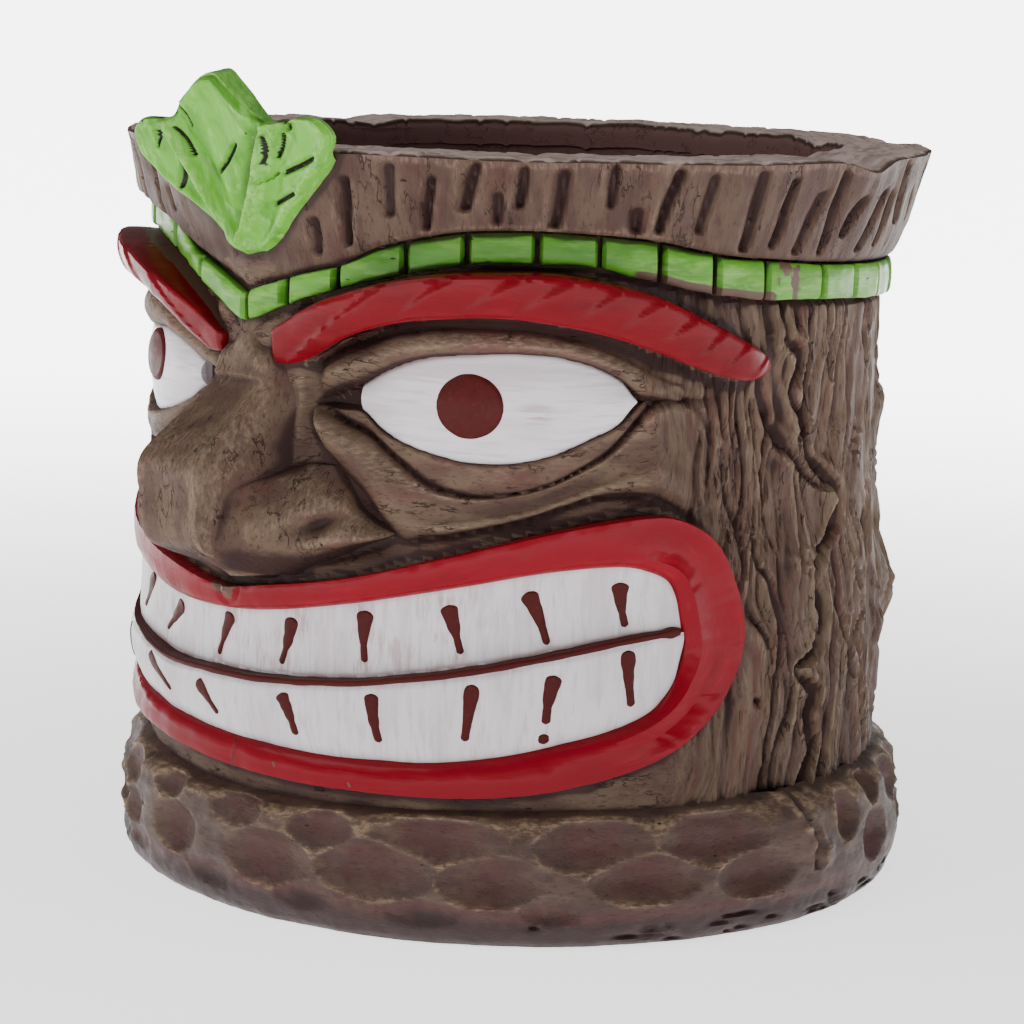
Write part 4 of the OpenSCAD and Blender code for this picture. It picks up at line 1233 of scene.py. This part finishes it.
def plinth_hollows():
    """The seen hollows, and three rows of others carried on round the back."""
    rng = np.random.default_rng(11)
    found = list(HOLLOWS)
    for row, height in enumerate((14.6, 9.2, 4.9)):
        a = 113.0 + 5 * row
        while a < 332:
            half = rng.uniform(3.6, 6.6)
            a += half + 0.6
            level = height + rng.uniform(-0.7, 0.7)
            found.append((a, level, half, rng.uniform(2.3, 3.2) - 0.9 * (row == 2)))
            a += half + 0.4
    return found


ROOT_KNOT = [(84.0, 21), (84.8, 19), (87.2, 16.4), (88.3, 12), (90.8, 9.2)]
ROOT_CRACK = [(86, 21), (86.6, 17), (89, 13), (89.6, 8)]


def root_knot(a, z):
    """The lumpy root that runs down over the plinth, with a crack along it."""
    d = near_path(a, z, ROOT_KNOT, 9)
    lumps = noise(on_wall(a, z, PLINTH_R) / 1.5, 161)
    crack = bell(near_path(a, z, ROOT_CRACK, 4), 0.6)
    return 1.5 * bell(d / 2.0, 1) + 0.9 * bell(d / 2.4, 1) * lumps - 1.3 * crack


def plinth_r(a, z):
    """Radius of the hammered plinth, and a tint: up to 1 in hollows, and more towards the bottom, where it
    is painted darker.
    """
    r = curve(PLINTH, z)
    dish = np.zeros(a.shape)
    for turn, height, wide, tall in plinth_hollows():
        x = turned(a - turn) / (1.28 * wide)
        y = (z - height) / (1.24 * tall)
        d = np.sqrt(x * x + y * y)
        dish = np.maximum(dish, (0.8 + 0.45 * tall) * (1 - 0.45 * (height < 6)) * np.clip(1 - d * d, 0, 1))
    p = on_wall(a, z, PLINTH_R)
    rng = np.random.default_rng(5)
    nicks = np.zeros(a.shape)
    for _ in range(PLINTH_NICKS):
        turn, height, wide = rng.uniform(45, 118), rng.uniform(0.4, 3.2), rng.uniform(0.6, 2.6)
        nicks = np.maximum(nicks, bell(turned(a - turn) / wide, 1) * bell((z - height) / 0.3, 1))
    uneven = 0.22 * noise(p / 3.2, 162) + 0.12 * noise(p / 1.1, 163) + 0.45 * noise(p / 12, 164)
    pores = 0.35 * step(noise(p / 0.75, 165), 0.72, 0.9)
    r = r - dish * step(z, 17.8, 16.5) + uneven - pores - 0.8 * nicks * step(z, 0.1, 0.5) + root_knot(a, z)
    hollow_soil = np.clip(dish * 0.45 + 0.4 * noise(p / 1.6, 166), 0, 1)
    darker_to_foot = 1.5 * step(z + 1.2 * noise(p / 7, 167), 7.5, 2.5)
    return r, hollow_soil + darker_to_foot


def plinth():
    """The plinth as a band round the trunk's foot."""
    a = turned(np.linspace(-180, 180, PLINTH_COLUMNS, endpoint=False))
    z = np.concatenate([[0.0, 0.25, 0.6], np.linspace(1.0, 17.2, PLINTH_ROWS), [17.6, 18.0, 18.4]])
    aa, zz = np.meshgrid(a, z, indexing="ij")
    r, dished = plinth_r(aa, zz)
    sag = 1.6 * bell(aa / 30, 1) * step(zz, 15, 18.4)
    face = on_wall(aa, zz - sag, r)
    back = np.stack([on_wall(a, 17.0, 50.0), on_wall(a, 0.0, 50.0)], axis=1)
    return [Shell(face, back, wrap=True, flow=face * (0.5, 0.5, 1.3), soiled_and_shaded=dished)]


# --- Meshes -----------------------------------------------------------------------------------------

CELL = 0.5                   # mm between the samples of the height map
BARE_R = 49.0                # what a sample says where nothing stands
SHARP_ANGLE = 32             # degrees between faces from which an edge is shaded sharp


class HeightMap:
    """How far the whole object stands out at every angle and height, to find what lies recessed."""

    def __init__(self, shells):
        self.cols, self.rows = int(360 / np.degrees(CELL / TRUNK_R)), int(120 / CELL)
        self.r = np.full((self.cols, self.rows), BARE_R)
        for shell in shells:
            face = shell.rings[:, :shell.front]
            finer = (face[1:] + face[:-1]) / 2
            for points in (face.reshape(-1, 3), finer.reshape(-1, 3)):
                i, j, r = self.place(points)
                seen = r > 50
                np.maximum.at(self.r, (i[seen].astype(int) % self.cols, j[seen].astype(int)), r[seen])
        self.fill()
        self.fine = self.blurred(0.8) - self.r
        self.broad = self.blurred(2.6) - self.r

    def place(self, p):
        """Column, row and radius of each point."""
        a = np.degrees(np.arctan2(p[:, 0], -p[:, 1])) % 360
        i = a / 360 * self.cols
        j = np.clip(p[:, 2] / CELL, 0, self.rows - 1.01)
        return i, j, np.hypot(p[:, 0], p[:, 1])

    def fill(self):
        """Closes the gaps between samples, and carries the top row up past the rim."""
        for _ in range(3):
            empty = self.r <= BARE_R
            moved = [np.roll(self.r, (i, j), (0, 1)) for i in (-1, 0, 1) for j in (-1, 0, 1)]
            self.r[empty] = np.max(moved, axis=0)[empty]
        for j in range(int(90 / CELL), self.rows):
            empty = self.r[:, j] <= 50.0
            self.r[empty, j] = self.r[empty, j - 1]

    def blurred(self, mm):
        """The map with what is finer than mm smoothed away."""
        size = mm / CELL
        wide = np.concatenate([self.r, self.r[:, ::-1]], axis=1)
        u = np.fft.fftfreq(wide.shape[0])[:, None]
        v = np.fft.fftfreq(wide.shape[1])[None, :]
        gauss = np.exp(-2 * (math.pi * size) ** 2 * (u * u + v * v))
        return np.real(np.fft.ifft2(np.fft.fft2(wide) * gauss))[:, :self.rows]

    def depth(self, points):
        """Depth in mm below the surroundings, fine and broad, at each point."""
        i, j, r = self.place(points)
        i0, j0 = np.floor(i).astype(int), np.floor(j).astype(int)
        u, v = i - i0, j - j0
        near = []
        for field in (self.fine + self.r, self.broad + self.r):
            corners = [field[(i0 + di) % self.cols, np.minimum(j0 + dj, self.rows - 1)]
                       for di in (0, 1) for dj in (0, 1)]
            near.append(corners[0] * (1 - u) * (1 - v) + corners[1] * (1 - u) * v + corners[2] * u * (1 - v)
                        + corners[3] * u * v - r)
        on_surface = self.r[i0 % self.cols, j0] - r < 2.2
        return [np.where(on_surface, value, 0) for value in near]


def make_mesh(name, shells, heights):
    """One object made of closed shells, with the numbers that the paint reads."""
    verts, quads, ends, flow, soiled_and_shaded, fine, broad = [], [], [], [], [], [], []
    start = 0
    for shell in shells:
        points = shell.rings.reshape(-1, 3)
        faces, caps = shell.faces()
        if signed_volume(points, faces) < 0:
            faces = faces[:, ::-1]
            caps = [cap[::-1] for cap in caps]
        verts.append(points)
        quads.append(faces + start)
        ends += [[k + start for k in cap] for cap in caps]
        flow.append(shell.flow.reshape(-1, 3))
        soiled_and_shaded.append(shell.soiled_and_shaded.ravel())
        near = heights.depth(points) if shell.recess is None else 2 * [shell.recess.ravel()]
        shown = np.zeros(shell.rings.shape[:2], bool)
        shown[:, :shell.front] = True
        fine.append(np.where(shown.ravel(), near[0], 0))
        broad.append(np.where(shown.ravel(), near[1], 0))
        start += len(points)
    mesh = bpy.data.meshes.new(name)
    mesh.from_pydata(np.concatenate(verts) * MM, [], np.concatenate(quads).tolist() + ends)
    mesh.validate()
    mesh.shade_smooth()
    mesh.set_sharp_from_angle(angle=math.radians(SHARP_ANGLE))
    add_numbers(mesh, "recess", np.concatenate(fine))
    add_numbers(mesh, "hollow", np.concatenate(broad))
    add_numbers(mesh, "soiled_and_shaded", np.concatenate(soiled_and_shaded))
    vectors = mesh.attributes.new("flow", "FLOAT_VECTOR", "POINT")
    vectors.data.foreach_set("vector", np.concatenate(flow).astype(np.float32).ravel())
    piece = bpy.data.objects.new(name, mesh)
    bpy.context.scene.collection.objects.link(piece)
    return piece


def add_numbers(mesh, name, values):
    layer = mesh.attributes.new(name, "FLOAT", "POINT")
    layer.data.foreach_set("value", values.astype(np.float32))


def signed_volume(points, quads):
    """Below 0 where the faces look inwards."""
    a, b, c, d = (points[quads[:, k]] for k in range(4))
    return np.sum(a * (np.cross(b, c) + np.cross(c, d)))


# --- Materials --------------------------------------------------------------------------------------


def linear(r, g, b):
    """A display colour from 0 to 255 as the linear colour that shaders take."""
    return tuple(((c / 255 + 0.055) / 1.055) ** 2.4 if c > 10 else c / 3300 for c in (r, g, b)) + (1.0,)


class Paint:
    """A material built up in layers, as the mug was painted: base coat, streaks, dark washes in the recesses
    that also carry painted shade, dry brush.
    """

    def __init__(self, name, base, rough, gloss=0.5, coat=0.0, coat_rough=0.15):
        self.material = bpy.data.materials.new(name)
        self.material.use_nodes = True
        self.nodes = self.material.node_tree.nodes
        self.link = self.material.node_tree.links.new
        self.shader = self.nodes["Principled BSDF"]
        self.shader.inputs["Specular IOR Level"].default_value = gloss
        self.shader.inputs["Coat Weight"].default_value = coat
        self.shader.inputs["Coat Roughness"].default_value = coat_rough
        self.flow = self.attribute("flow", "Vector")
        self.color = linear(*base)
        self.rough = rough
        self.height = None

    def attribute(self, name, output="Fac"):
        node = self.nodes.new("ShaderNodeAttribute")
        node.attribute_name = name
        return node.outputs[output]

    def noise(self, size, detail=3.0, stretch=(1, 1, 1), rough=0.6, shift=0.0):
        """Noise with features of size mm along the grain's own directions."""
        mapping = self.nodes.new("ShaderNodeMapping")
        mapping.inputs["Scale"].default_value = stretch
        mapping.inputs["Location"].default_value = (shift, shift, shift)
        self.link(self.flow, mapping.inputs["Vector"])
        node = self.nodes.new("ShaderNodeTexNoise")
        node.inputs["Scale"].default_value = 1 / size
        node.inputs["Detail"].default_value = detail
        node.inputs["Roughness"].default_value = rough
        self.link(mapping.outputs["Vector"], node.inputs["Vector"])
        return node.outputs["Fac"]

    def dots(self, size):
        """Distance to scattered points, about size mm apart."""
        node = self.nodes.new("ShaderNodeTexVoronoi")
        node.inputs["Scale"].default_value = 1 / size
        self.link(self.flow, node.inputs["Vector"])
        return node.outputs["Distance"]

    def ramp(self, value, low, high, start=0.0, end=1.0):
        """Goes from start to end, smoothly, while value goes from low to high."""
        node = self.nodes.new("ShaderNodeMapRange")
        node.interpolation_type = "SMOOTHSTEP"
        self.link(value, node.inputs["Value"])
        for key, number in (("From Min", low), ("From Max", high), ("To Min", start), ("To Max", end)):
            node.inputs[key].default_value = number
        return node.outputs["Result"]

    def math(self, kind, x, y):
        node = self.nodes.new("ShaderNodeMath")
        node.operation = kind
        for socket, value in zip(node.inputs, (x, y)):
            if isinstance(value, (int, float)):
                socket.default_value = value
            else:
                self.link(value, socket)
        return node.outputs["Value"]

    def layer(self, color, share_of):
        """Lays a colour over what's there, by share_of."""
        node = self.nodes.new("ShaderNodeMix")
        node.data_type = "RGBA"
        self.link(share_of, node.inputs["Factor"])
        under, over = node.inputs[6], node.inputs[7]
        if isinstance(self.color, tuple):
            under.default_value = self.color
        else:
            self.link(self.color, under)
        over.default_value = linear(*color)
        self.color = node.outputs[2]

    def where(self, name, color, low, high, amount=1.0):
        """Lays a colour where the mesh's number goes from low to high."""
        self.layer(color, self.ramp(self.attribute(name), low, high, 0.0, amount))

    def mottle(self, color, low, high, amount, *size, **more):
        """Lays a colour in patches, where the noise goes from low to high."""
        self.layer(color, self.ramp(self.noise(*size, **more), low, high, 0.0, amount))

    def bump(self, value, mm):
        """Adds relief of mm for each 1 of value."""
        scaled = self.math("MULTIPLY", value, mm * MM)
        self.height = scaled if self.height is None else self.math("ADD", self.height, scaled)

    def done(self, rough_spread=0.12):
        """Joins colour, roughness and relief to the shader."""
        self.link(self.color, self.shader.inputs["Base Color"])
        least, most = self.rough - rough_spread / 2, self.rough + rough_spread
        spread = self.ramp(self.noise(2.2, 4.0, shift=41), 0.3, 0.7, least, most)
        self.link(spread, self.shader.inputs["Roughness"])
        if self.height is not None:
            node = self.nodes.new("ShaderNodeBump")
            node.inputs["Strength"].default_value = 1.0
            node.inputs["Distance"].default_value = 1.0
            self.link(self.height, node.inputs["Height"])
            self.link(node.outputs["Normal"], self.shader.inputs["Normal"])
        return self.material


UMBER, DARK_BROWN = (52, 34, 30), (44, 29, 28)


def recessed(paint, color, fine=(0.12, 0.7), broad=(0.9, 3.2), strength=0.8):
    """Darker colour in cuts, and more softly in hollows: partly dark washes of paint, partly painted shade.
    """
    broken = paint.ramp(paint.noise(1.4, 4.0, shift=9), 0.25, 0.7, 0.45, 1.0)
    # painted shade and dark washes, by how far a place lies below its surroundings
    wash_and_shade = paint.math("MULTIPLY", paint.ramp(paint.attribute("hollow"), *broad, 0.0, strength * 0.6), broken)
    paint.layer(color, wash_and_shade)
    paint.layer(color, paint.ramp(paint.attribute("recess"), *fine, 0.0, strength))


def dry_brushed(paint, color, amount=0.6, size=0.5, proud=(0.04, -0.25)):
    """Pale strokes caught by what stands out."""
    proud = paint.ramp(paint.attribute("recess"), *proud)
    strokes = paint.ramp(paint.noise(size, 5.0, (1, 1, 1), 0.7, 5), 0.42, 0.64, 0.15, 1.0)
    paint.layer(color, paint.math("MULTIPLY", paint.math("MULTIPLY", proud, strokes), amount))


def pinholes(paint, color, size=3.0, radius=0.055):
    """Small holes, about size mm apart, dented in and painted dark as the shade inside them."""
    mask = paint.ramp(paint.dots(size), radius, radius * 0.55)
    paint.layer(color, mask)
    paint.bump(mask, -0.12)


def wood(name, base, khaki, reddish, pale):
    """Brown paint under a khaki dry brush, with a reddish coat showing through."""
    paint = Paint(name, base, 0.52, gloss=0.12)
    paint.mottle(khaki, 0.42, 0.60, 0.85, 3.6, 4.0, shift=17)
    paint.mottle(reddish, 0.52, 0.68, 0.6, 5.5, 3.0, shift=3)
    streaks = paint.noise(0.36, 5.0, (1, 1, 1), 0.7, 23)
    paint.layer(UMBER, paint.ramp(streaks, 0.48, 0.32, 0.0, 0.8))
    dry_brushed(paint, pale, 0.55, 0.42)
    # dark hairlines along fine cracks: painted shade inside them, over a slight dent
    off_line = paint.math("ABSOLUTE", paint.math("SUBTRACT", paint.noise(1.5, 3.0, shift=61), 0.5), 0)
    here_and_there = paint.ramp(paint.noise(3.1, 2.0, shift=71), 0.5, 0.6)
    crack = paint.math("MULTIPLY", paint.ramp(off_line, 0.02, 0.004), here_and_there)
    paint.layer(DARK_BROWN, paint.math("MULTIPLY", crack, 0.8))
    paint.bump(crack, -0.18)
    # darker brown in cuts and hollows: dark washes, and painted shade
    recessed(paint, DARK_BROWN, fine=(0.14, 0.56), strength=0.9)
    pinholes(paint, DARK_BROWN)
    paint.where("soiled_and_shaded", (120, 88, 84), 0.1, 0.8, 0.9)
    paint.where("soiled_and_shaded", (192, 170, 162), -0.2, -1.0, 0.92)
    paint.bump(streaks, 0.1)
    paint.bump(paint.noise(0.16, 3.0, shift=31), 0.04)
    return paint.done()


def bark_paint():
    return wood("bark", (77, 58, 50), (93, 76, 62), (84, 50, 45), (126, 109, 91))


def crown_paint():
    return wood("crown", (63, 45, 39), (78, 61, 51), (68, 42, 38), (112, 92, 80))


def plinth_paint():
    paint = Paint("plinth", (72, 55, 50), 0.42, gloss=0.2)
    paint.mottle((88, 70, 59), 0.42, 0.6, 0.8, 3.0, 4.0, shift=17)
    sunk = paint.ramp(paint.attribute("soiled_and_shaded"), 0.2, 0.9, 0.0, 0.85)
    broken = paint.ramp(paint.noise(2.6, 4.0, shift=5), 0.3, 0.6, 0.35, 1.0)
    paint.layer((80, 50, 48), paint.math("MULTIPLY", sunk, broken))
    streaks = paint.noise(0.55, 5.0, (1, 1, 1), 0.7, 23)
    paint.layer(UMBER, paint.ramp(streaks, 0.48, 0.28, 0.0, 0.75))
    dry_brushed(paint, (146, 122, 97), 0.85, 0.8, (-0.12, -0.5))
    # dark brown in the deepest cuts: partly a dark wash, partly painted shade
    paint.where("recess", DARK_BROWN, 0.45, 1.2, 0.7)
    # darker towards the bottom of the plinth
    paint.where("soiled_and_shaded", (52, 41, 42), 1.0, 1.6, 0.8)
    pinholes(paint, DARK_BROWN, 3.4)
    paint.bump(streaks, 0.12)
    paint.bump(paint.noise(0.2, 3.0, shift=31), 0.04)
    return paint.done()


def green_paint(name, base, deep, pale, bare, brushed):
    paint = Paint(name, base, 0.34, gloss=0.15, coat=0.05, coat_rough=0.25)
    paint.mottle(deep, 0.44, 0.66, 0.7, 2.6, 4.0, shift=3)
    paint.mottle(pale, 0.52, 0.72, 0.6, 1.3, 5.0, (1, 1, 0.6), 0.6, 13)
    dry_brushed(paint, pale, brushed, 0.7)
    # deeper green in hollows and near-black in cuts and gaps: painted shade
    paint.where("hollow", deep, 0.3, 1.4, 0.45)
    paint.where("recess", (30, 26, 16), 0.3, 0.8, 0.85)
    pinholes(paint, (24, 24, 16), 3.2, 0.05)
    paint.where("soiled_and_shaded", bare, 0.35, 0.7)
    paint.bump(paint.noise(0.45, 4.0, (1, 1, 0.7), 0.6, 23), 0.06)
    return paint.done()


def band_paint():
    return green_paint("band_green", (74, 130, 32), (54, 98, 24), (122, 160, 84), (78, 58, 50), 0.35)


def leaf_paint():
    return green_paint("leaf_green", (88, 148, 46), (60, 114, 28), (130, 176, 92), (24, 24, 14), 0.6)


def red_paint(name, base, deep, pale):
    paint = Paint(name, base, 0.29, gloss=0.07, coat=0.06, coat_rough=0.12)
    paint.mottle(deep, 0.44, 0.7, 0.65, 3.2, 3.0, shift=3)
    paint.mottle(pale, 0.54, 0.76, 0.35, 0.9, 4.0, (1, 1, 0.7), 0.6, 13)
    # darker red in recesses: painted shade
    paint.where("recess", (70, 4, 8), 0.25, 0.9, 0.7)
    paint.where("soiled_and_shaded", (90, 66, 56), 0.45, 0.6)
    paint.bump(paint.noise(0.7, 4.0, (1, 1, 0.7), 0.6, 23), 0.05)
    paint.bump(paint.noise(3.0, 2.0, shift=29), 0.12)
    return paint.done(0.1)


def lip_paint():
    return red_paint("red", (118, 11, 25), (104, 8, 20), (152, 26, 38))


def brow_paint():
    return red_paint("brow_red", (98, 8, 18), (84, 6, 14), (130, 20, 30))


def white_paint():
    paint = Paint("white", (200, 195, 199), 0.34, gloss=0.3, coat=0.1, coat_rough=0.2)
    paint.mottle((176, 165, 171), 0.46, 0.68, 0.75, 0.7, 5.0, (1, 1, 0.6), 0.65, 3)
    paint.mottle((184, 172, 177), 0.45, 0.7, 0.8, 4.5, 3.0, shift=13)
    strokes = paint.ramp(paint.noise(0.8, 5.0, (1, 1, 0.7), 0.7, 7), 0.4, 0.62, 0.1, 1.0)
    # greyish-pink stains on the teeth and eyes; on the upper teeth's left this is also painted shade
    smeared = paint.math("MULTIPLY", paint.attribute("soiled_and_shaded"), strokes)
    paint.layer((160, 132, 132), paint.ramp(smeared, 0.1, 0.8, 0.0, 0.85))
    # darker in recesses: painted shade
    paint.where("recess", (150, 122, 120), 0.3, 0.9, 0.7)
    pinholes(paint, (110, 84, 80), 6.5, 0.022)
    paint.bump(paint.noise(0.6, 5.0, (1, 1, 0.6), 0.65, 23), 0.06)
    return paint.done(0.1)


def brown_paint():
    paint = Paint("brown", (66, 20, 18), 0.42, gloss=0.06, coat=0.03, coat_rough=0.2)
    paint.mottle((56, 18, 17), 0.45, 0.7, 0.7, 1.2, 4.0, shift=3)
    paint.mottle((88, 38, 34), 0.55, 0.75, 0.4, 0.5, 4.0, shift=13)
    paint.bump(paint.noise(0.5, 4.0, shift=23), 0.05)
    return paint.done(0.1)


# --- The whole mug ----------------------------------------------------------------------------------


LEFT_WING_SHIFT = (0, 0.8, 1.2)      # the left nose wing sits further back and higher


def mirrored(shells, shift=(0, 0, 0)):
    """The same shells on the other side of the middle."""
    shells = [shell.mirrored() for shell in shells]
    for shell in shells:
        shell.rings = shell.rings + shift
    return shells


def all_pieces():
    """Shells for every CAD node; right and left are the viewer's."""
    lid, side_cheek, wing = lower_eyelid(), cheek(), nose_wing()
    return {
        "trunk_cup": trunk(),
        "crown_collar": crown(),
        "root_plinth": plinth(),
        "headband_blocks": headband(),
        "leaf_crest": leaf(),
        "nose_bridge": nose_bridge(),
        "lips": lips(),
        "upper_teeth": upper_teeth(),
        "lower_teeth": lower_teeth(),
        "upper_tooth_gaps": upper_gaps(),
        "lower_tooth_gaps": lower_gaps(),
        "bite_line": bite_line(),
        "brow_right": brow(),
        "brow_left": mirrored(brow(0.4, 1.3)),
        "upper_eyelid_right": upper_eyelid(),
        "upper_eyelid_left": upper_eyelid(-66.5, -9.8),
        "lower_eyelid_right": lid,
        "lower_eyelid_left": mirrored(lid),
        "eyeball_right": eyeball(),
        "eyeball_left": mirrored(eyeball(-1)),
        "pupil_right": pupil(),
        "pupil_left": mirrored(pupil(LEFT_PUPIL_AT, LEFT_PUPIL_R)),
        "cheek_right": side_cheek,
        "cheek_left": mirrored(side_cheek),
        "nose_wing_right": wing,
        "nose_wing_left": mirrored(wing, LEFT_WING_SHIFT),
    }


PAINTS = {
    "bark": bark_paint, "crown": crown_paint, "plinth": plinth_paint, "band_green": band_paint,
    "leaf_green": leaf_paint, "red": lip_paint, "brow_red": brow_paint, "white": white_paint,
    "brown": brown_paint,
}
FINISH = {
    "crown_collar": "crown", "root_plinth": "plinth", "headband_blocks": "band_green",
    "leaf_crest": "leaf_green", "lips": "red", "brow_left": "brow_red", "brow_right": "brow_red",
    "upper_teeth": "white", "lower_teeth": "white", "eyeball_left": "white", "eyeball_right": "white",
    "pupil_left": "brown", "pupil_right": "brown", "upper_tooth_gaps": "brown",
    "lower_tooth_gaps": "brown", "bite_line": "brown",
}


def build_mug():
    pieces = all_pieces()
    heights = HeightMap([shell for shells in pieces.values() for shell in shells])
    paints = {name: make() for name, make in PAINTS.items()}
    for node, shells in pieces.items():
        piece = make_mesh("skin_" + node, shells, heights)
        finish = FINISH.get(node, "bark")
        piece.data.materials.append(paints[finish])
        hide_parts(node)
        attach(piece, "root")


# --- Studio -----------------------------------------------------------------------------------------

VIEW_TURN, VIEW_RISE, VIEW_ROLL = 42.5, 9.66, 1.69
VIEW_DISTANCE, LENS, SENSOR = 475.3, 113.4, 36.0
AIM_ACROSS, AIM_Z = -0.9, 49.15


def place_camera():
    turn, rise, roll = (math.radians(v) for v in (VIEW_TURN, VIEW_RISE, VIEW_ROLL))
    back = Vector((math.sin(turn) * math.cos(rise), -math.cos(turn) * math.cos(rise), math.sin(rise)))
    level = Vector((math.cos(turn), math.sin(turn), 0))
    up = back.cross(level)
    right = level * math.cos(roll) + up * math.sin(roll)
    top = up * math.cos(roll) - level * math.sin(roll)
    eye = level * AIM_ACROSS + Vector((0, 0, AIM_Z)) + back * VIEW_DISTANCE
    data = bpy.data.cameras.new("camera")
    data.lens, data.sensor_width = LENS, SENSOR
    data.clip_start, data.clip_end = 0.01, 500.0
    camera = bpy.data.objects.new("camera", data)
    turned_axes = Matrix((right, top, back)).transposed().to_4x4()
    camera.matrix_world = Matrix.Translation(eye * MM) @ turned_axes
    bpy.context.scene.collection.objects.link(camera)
    bpy.context.scene.camera = camera


def soft_light(name, position, size, power):
    data = bpy.data.lights.new(name, "AREA")
    data.shape = "RECTANGLE"
    data.size, data.size_y = size
    data.energy = power
    lamp = bpy.data.objects.new(name, data)
    lamp.location = position
    toward = Vector((0, 0, 0.05)) - Vector(position)
    lamp.rotation_euler = toward.to_track_quat("-Z", "Y").to_euler()
    bpy.context.scene.collection.objects.link(lamp)


WORLD_LIGHT = 0.22
KEY_POWER, TOP_POWER = 6.1, 2.9
FLOOR_REACH = 60.0
FLOOR_GLOW = (1.5, 6.0)       # by the mug, dimmer there as a painted shadow round it, and far away
GLOW_RUN = (0.08, 0.6)         # metres from the mug where the glow starts and stops rising


def studio():
    world = bpy.data.worlds.new("tent")
    world.use_nodes = True
    world.node_tree.nodes["Background"].inputs["Color"].default_value = (1, 1, 1, 1)
    world.node_tree.nodes["Background"].inputs["Strength"].default_value = WORLD_LIGHT
    bpy.context.scene.world = world
    soft_light("key", (-0.35, -0.85, 0.85), (0.8, 0.6), KEY_POWER)
    soft_light("top", (0.25, 0.1, 1.2), (1.0, 1.0), TOP_POWER)


def floor():
    turns = np.linspace(0, 2 * math.pi, 96, endpoint=False)
    rings = [0.0, 0.3, 1.0, 4.0, 15.0, FLOOR_REACH]
    verts = [(0, 0, 0)] + [(r * math.cos(t), r * math.sin(t), 0) for r in rings[1:] for t in turns]
    n = len(turns)
    faces = [(0, 1 + k, 1 + (k + 1) % n) for k in range(n)]
    for i in range(len(rings) - 2):
        for k in range(n):
            near, far = 1 + i * n, 1 + (i + 1) * n
            faces.append((near + k, far + k, far + (k + 1) % n, near + (k + 1) % n))
    mesh = bpy.data.meshes.new("floor")
    mesh.from_pydata(verts, [], faces)
    ground = bpy.data.objects.new("floor", mesh)
    bpy.context.scene.collection.objects.link(ground)
    material = bpy.data.materials.new("floor")
    material.use_nodes = True
    shader = material.node_tree.nodes["Principled BSDF"]
    shader.inputs["Base Color"].default_value = (0.93, 0.93, 0.93, 1)
    shader.inputs["Roughness"].default_value = 0.9
    shader.inputs["Specular IOR Level"].default_value = 0.1
    shader.inputs["Emission Color"].default_value = (1, 1, 1, 1)
    nodes, link = material.node_tree.nodes, material.node_tree.links.new
    place = nodes.new("ShaderNodeNewGeometry")
    far = nodes.new("ShaderNodeVectorMath")
    far.operation = "LENGTH"
    link(place.outputs["Position"], far.inputs[0])
    # The floor's glow is painted light, and its dimming near the mug a painted shadow round it.
    glow = nodes.new("ShaderNodeMapRange")
    glow.interpolation_type = "SMOOTHSTEP"
    link(far.outputs["Value"], glow.inputs["Value"])
    for key, number in zip(("From Min", "From Max", "To Min", "To Max"), GLOW_RUN + FLOOR_GLOW):
        glow.inputs[key].default_value = number
    link(glow.outputs["Result"], shader.inputs["Emission Strength"])
    mesh.materials.append(material)


build_mug()
floor()
studio()
place_camera()
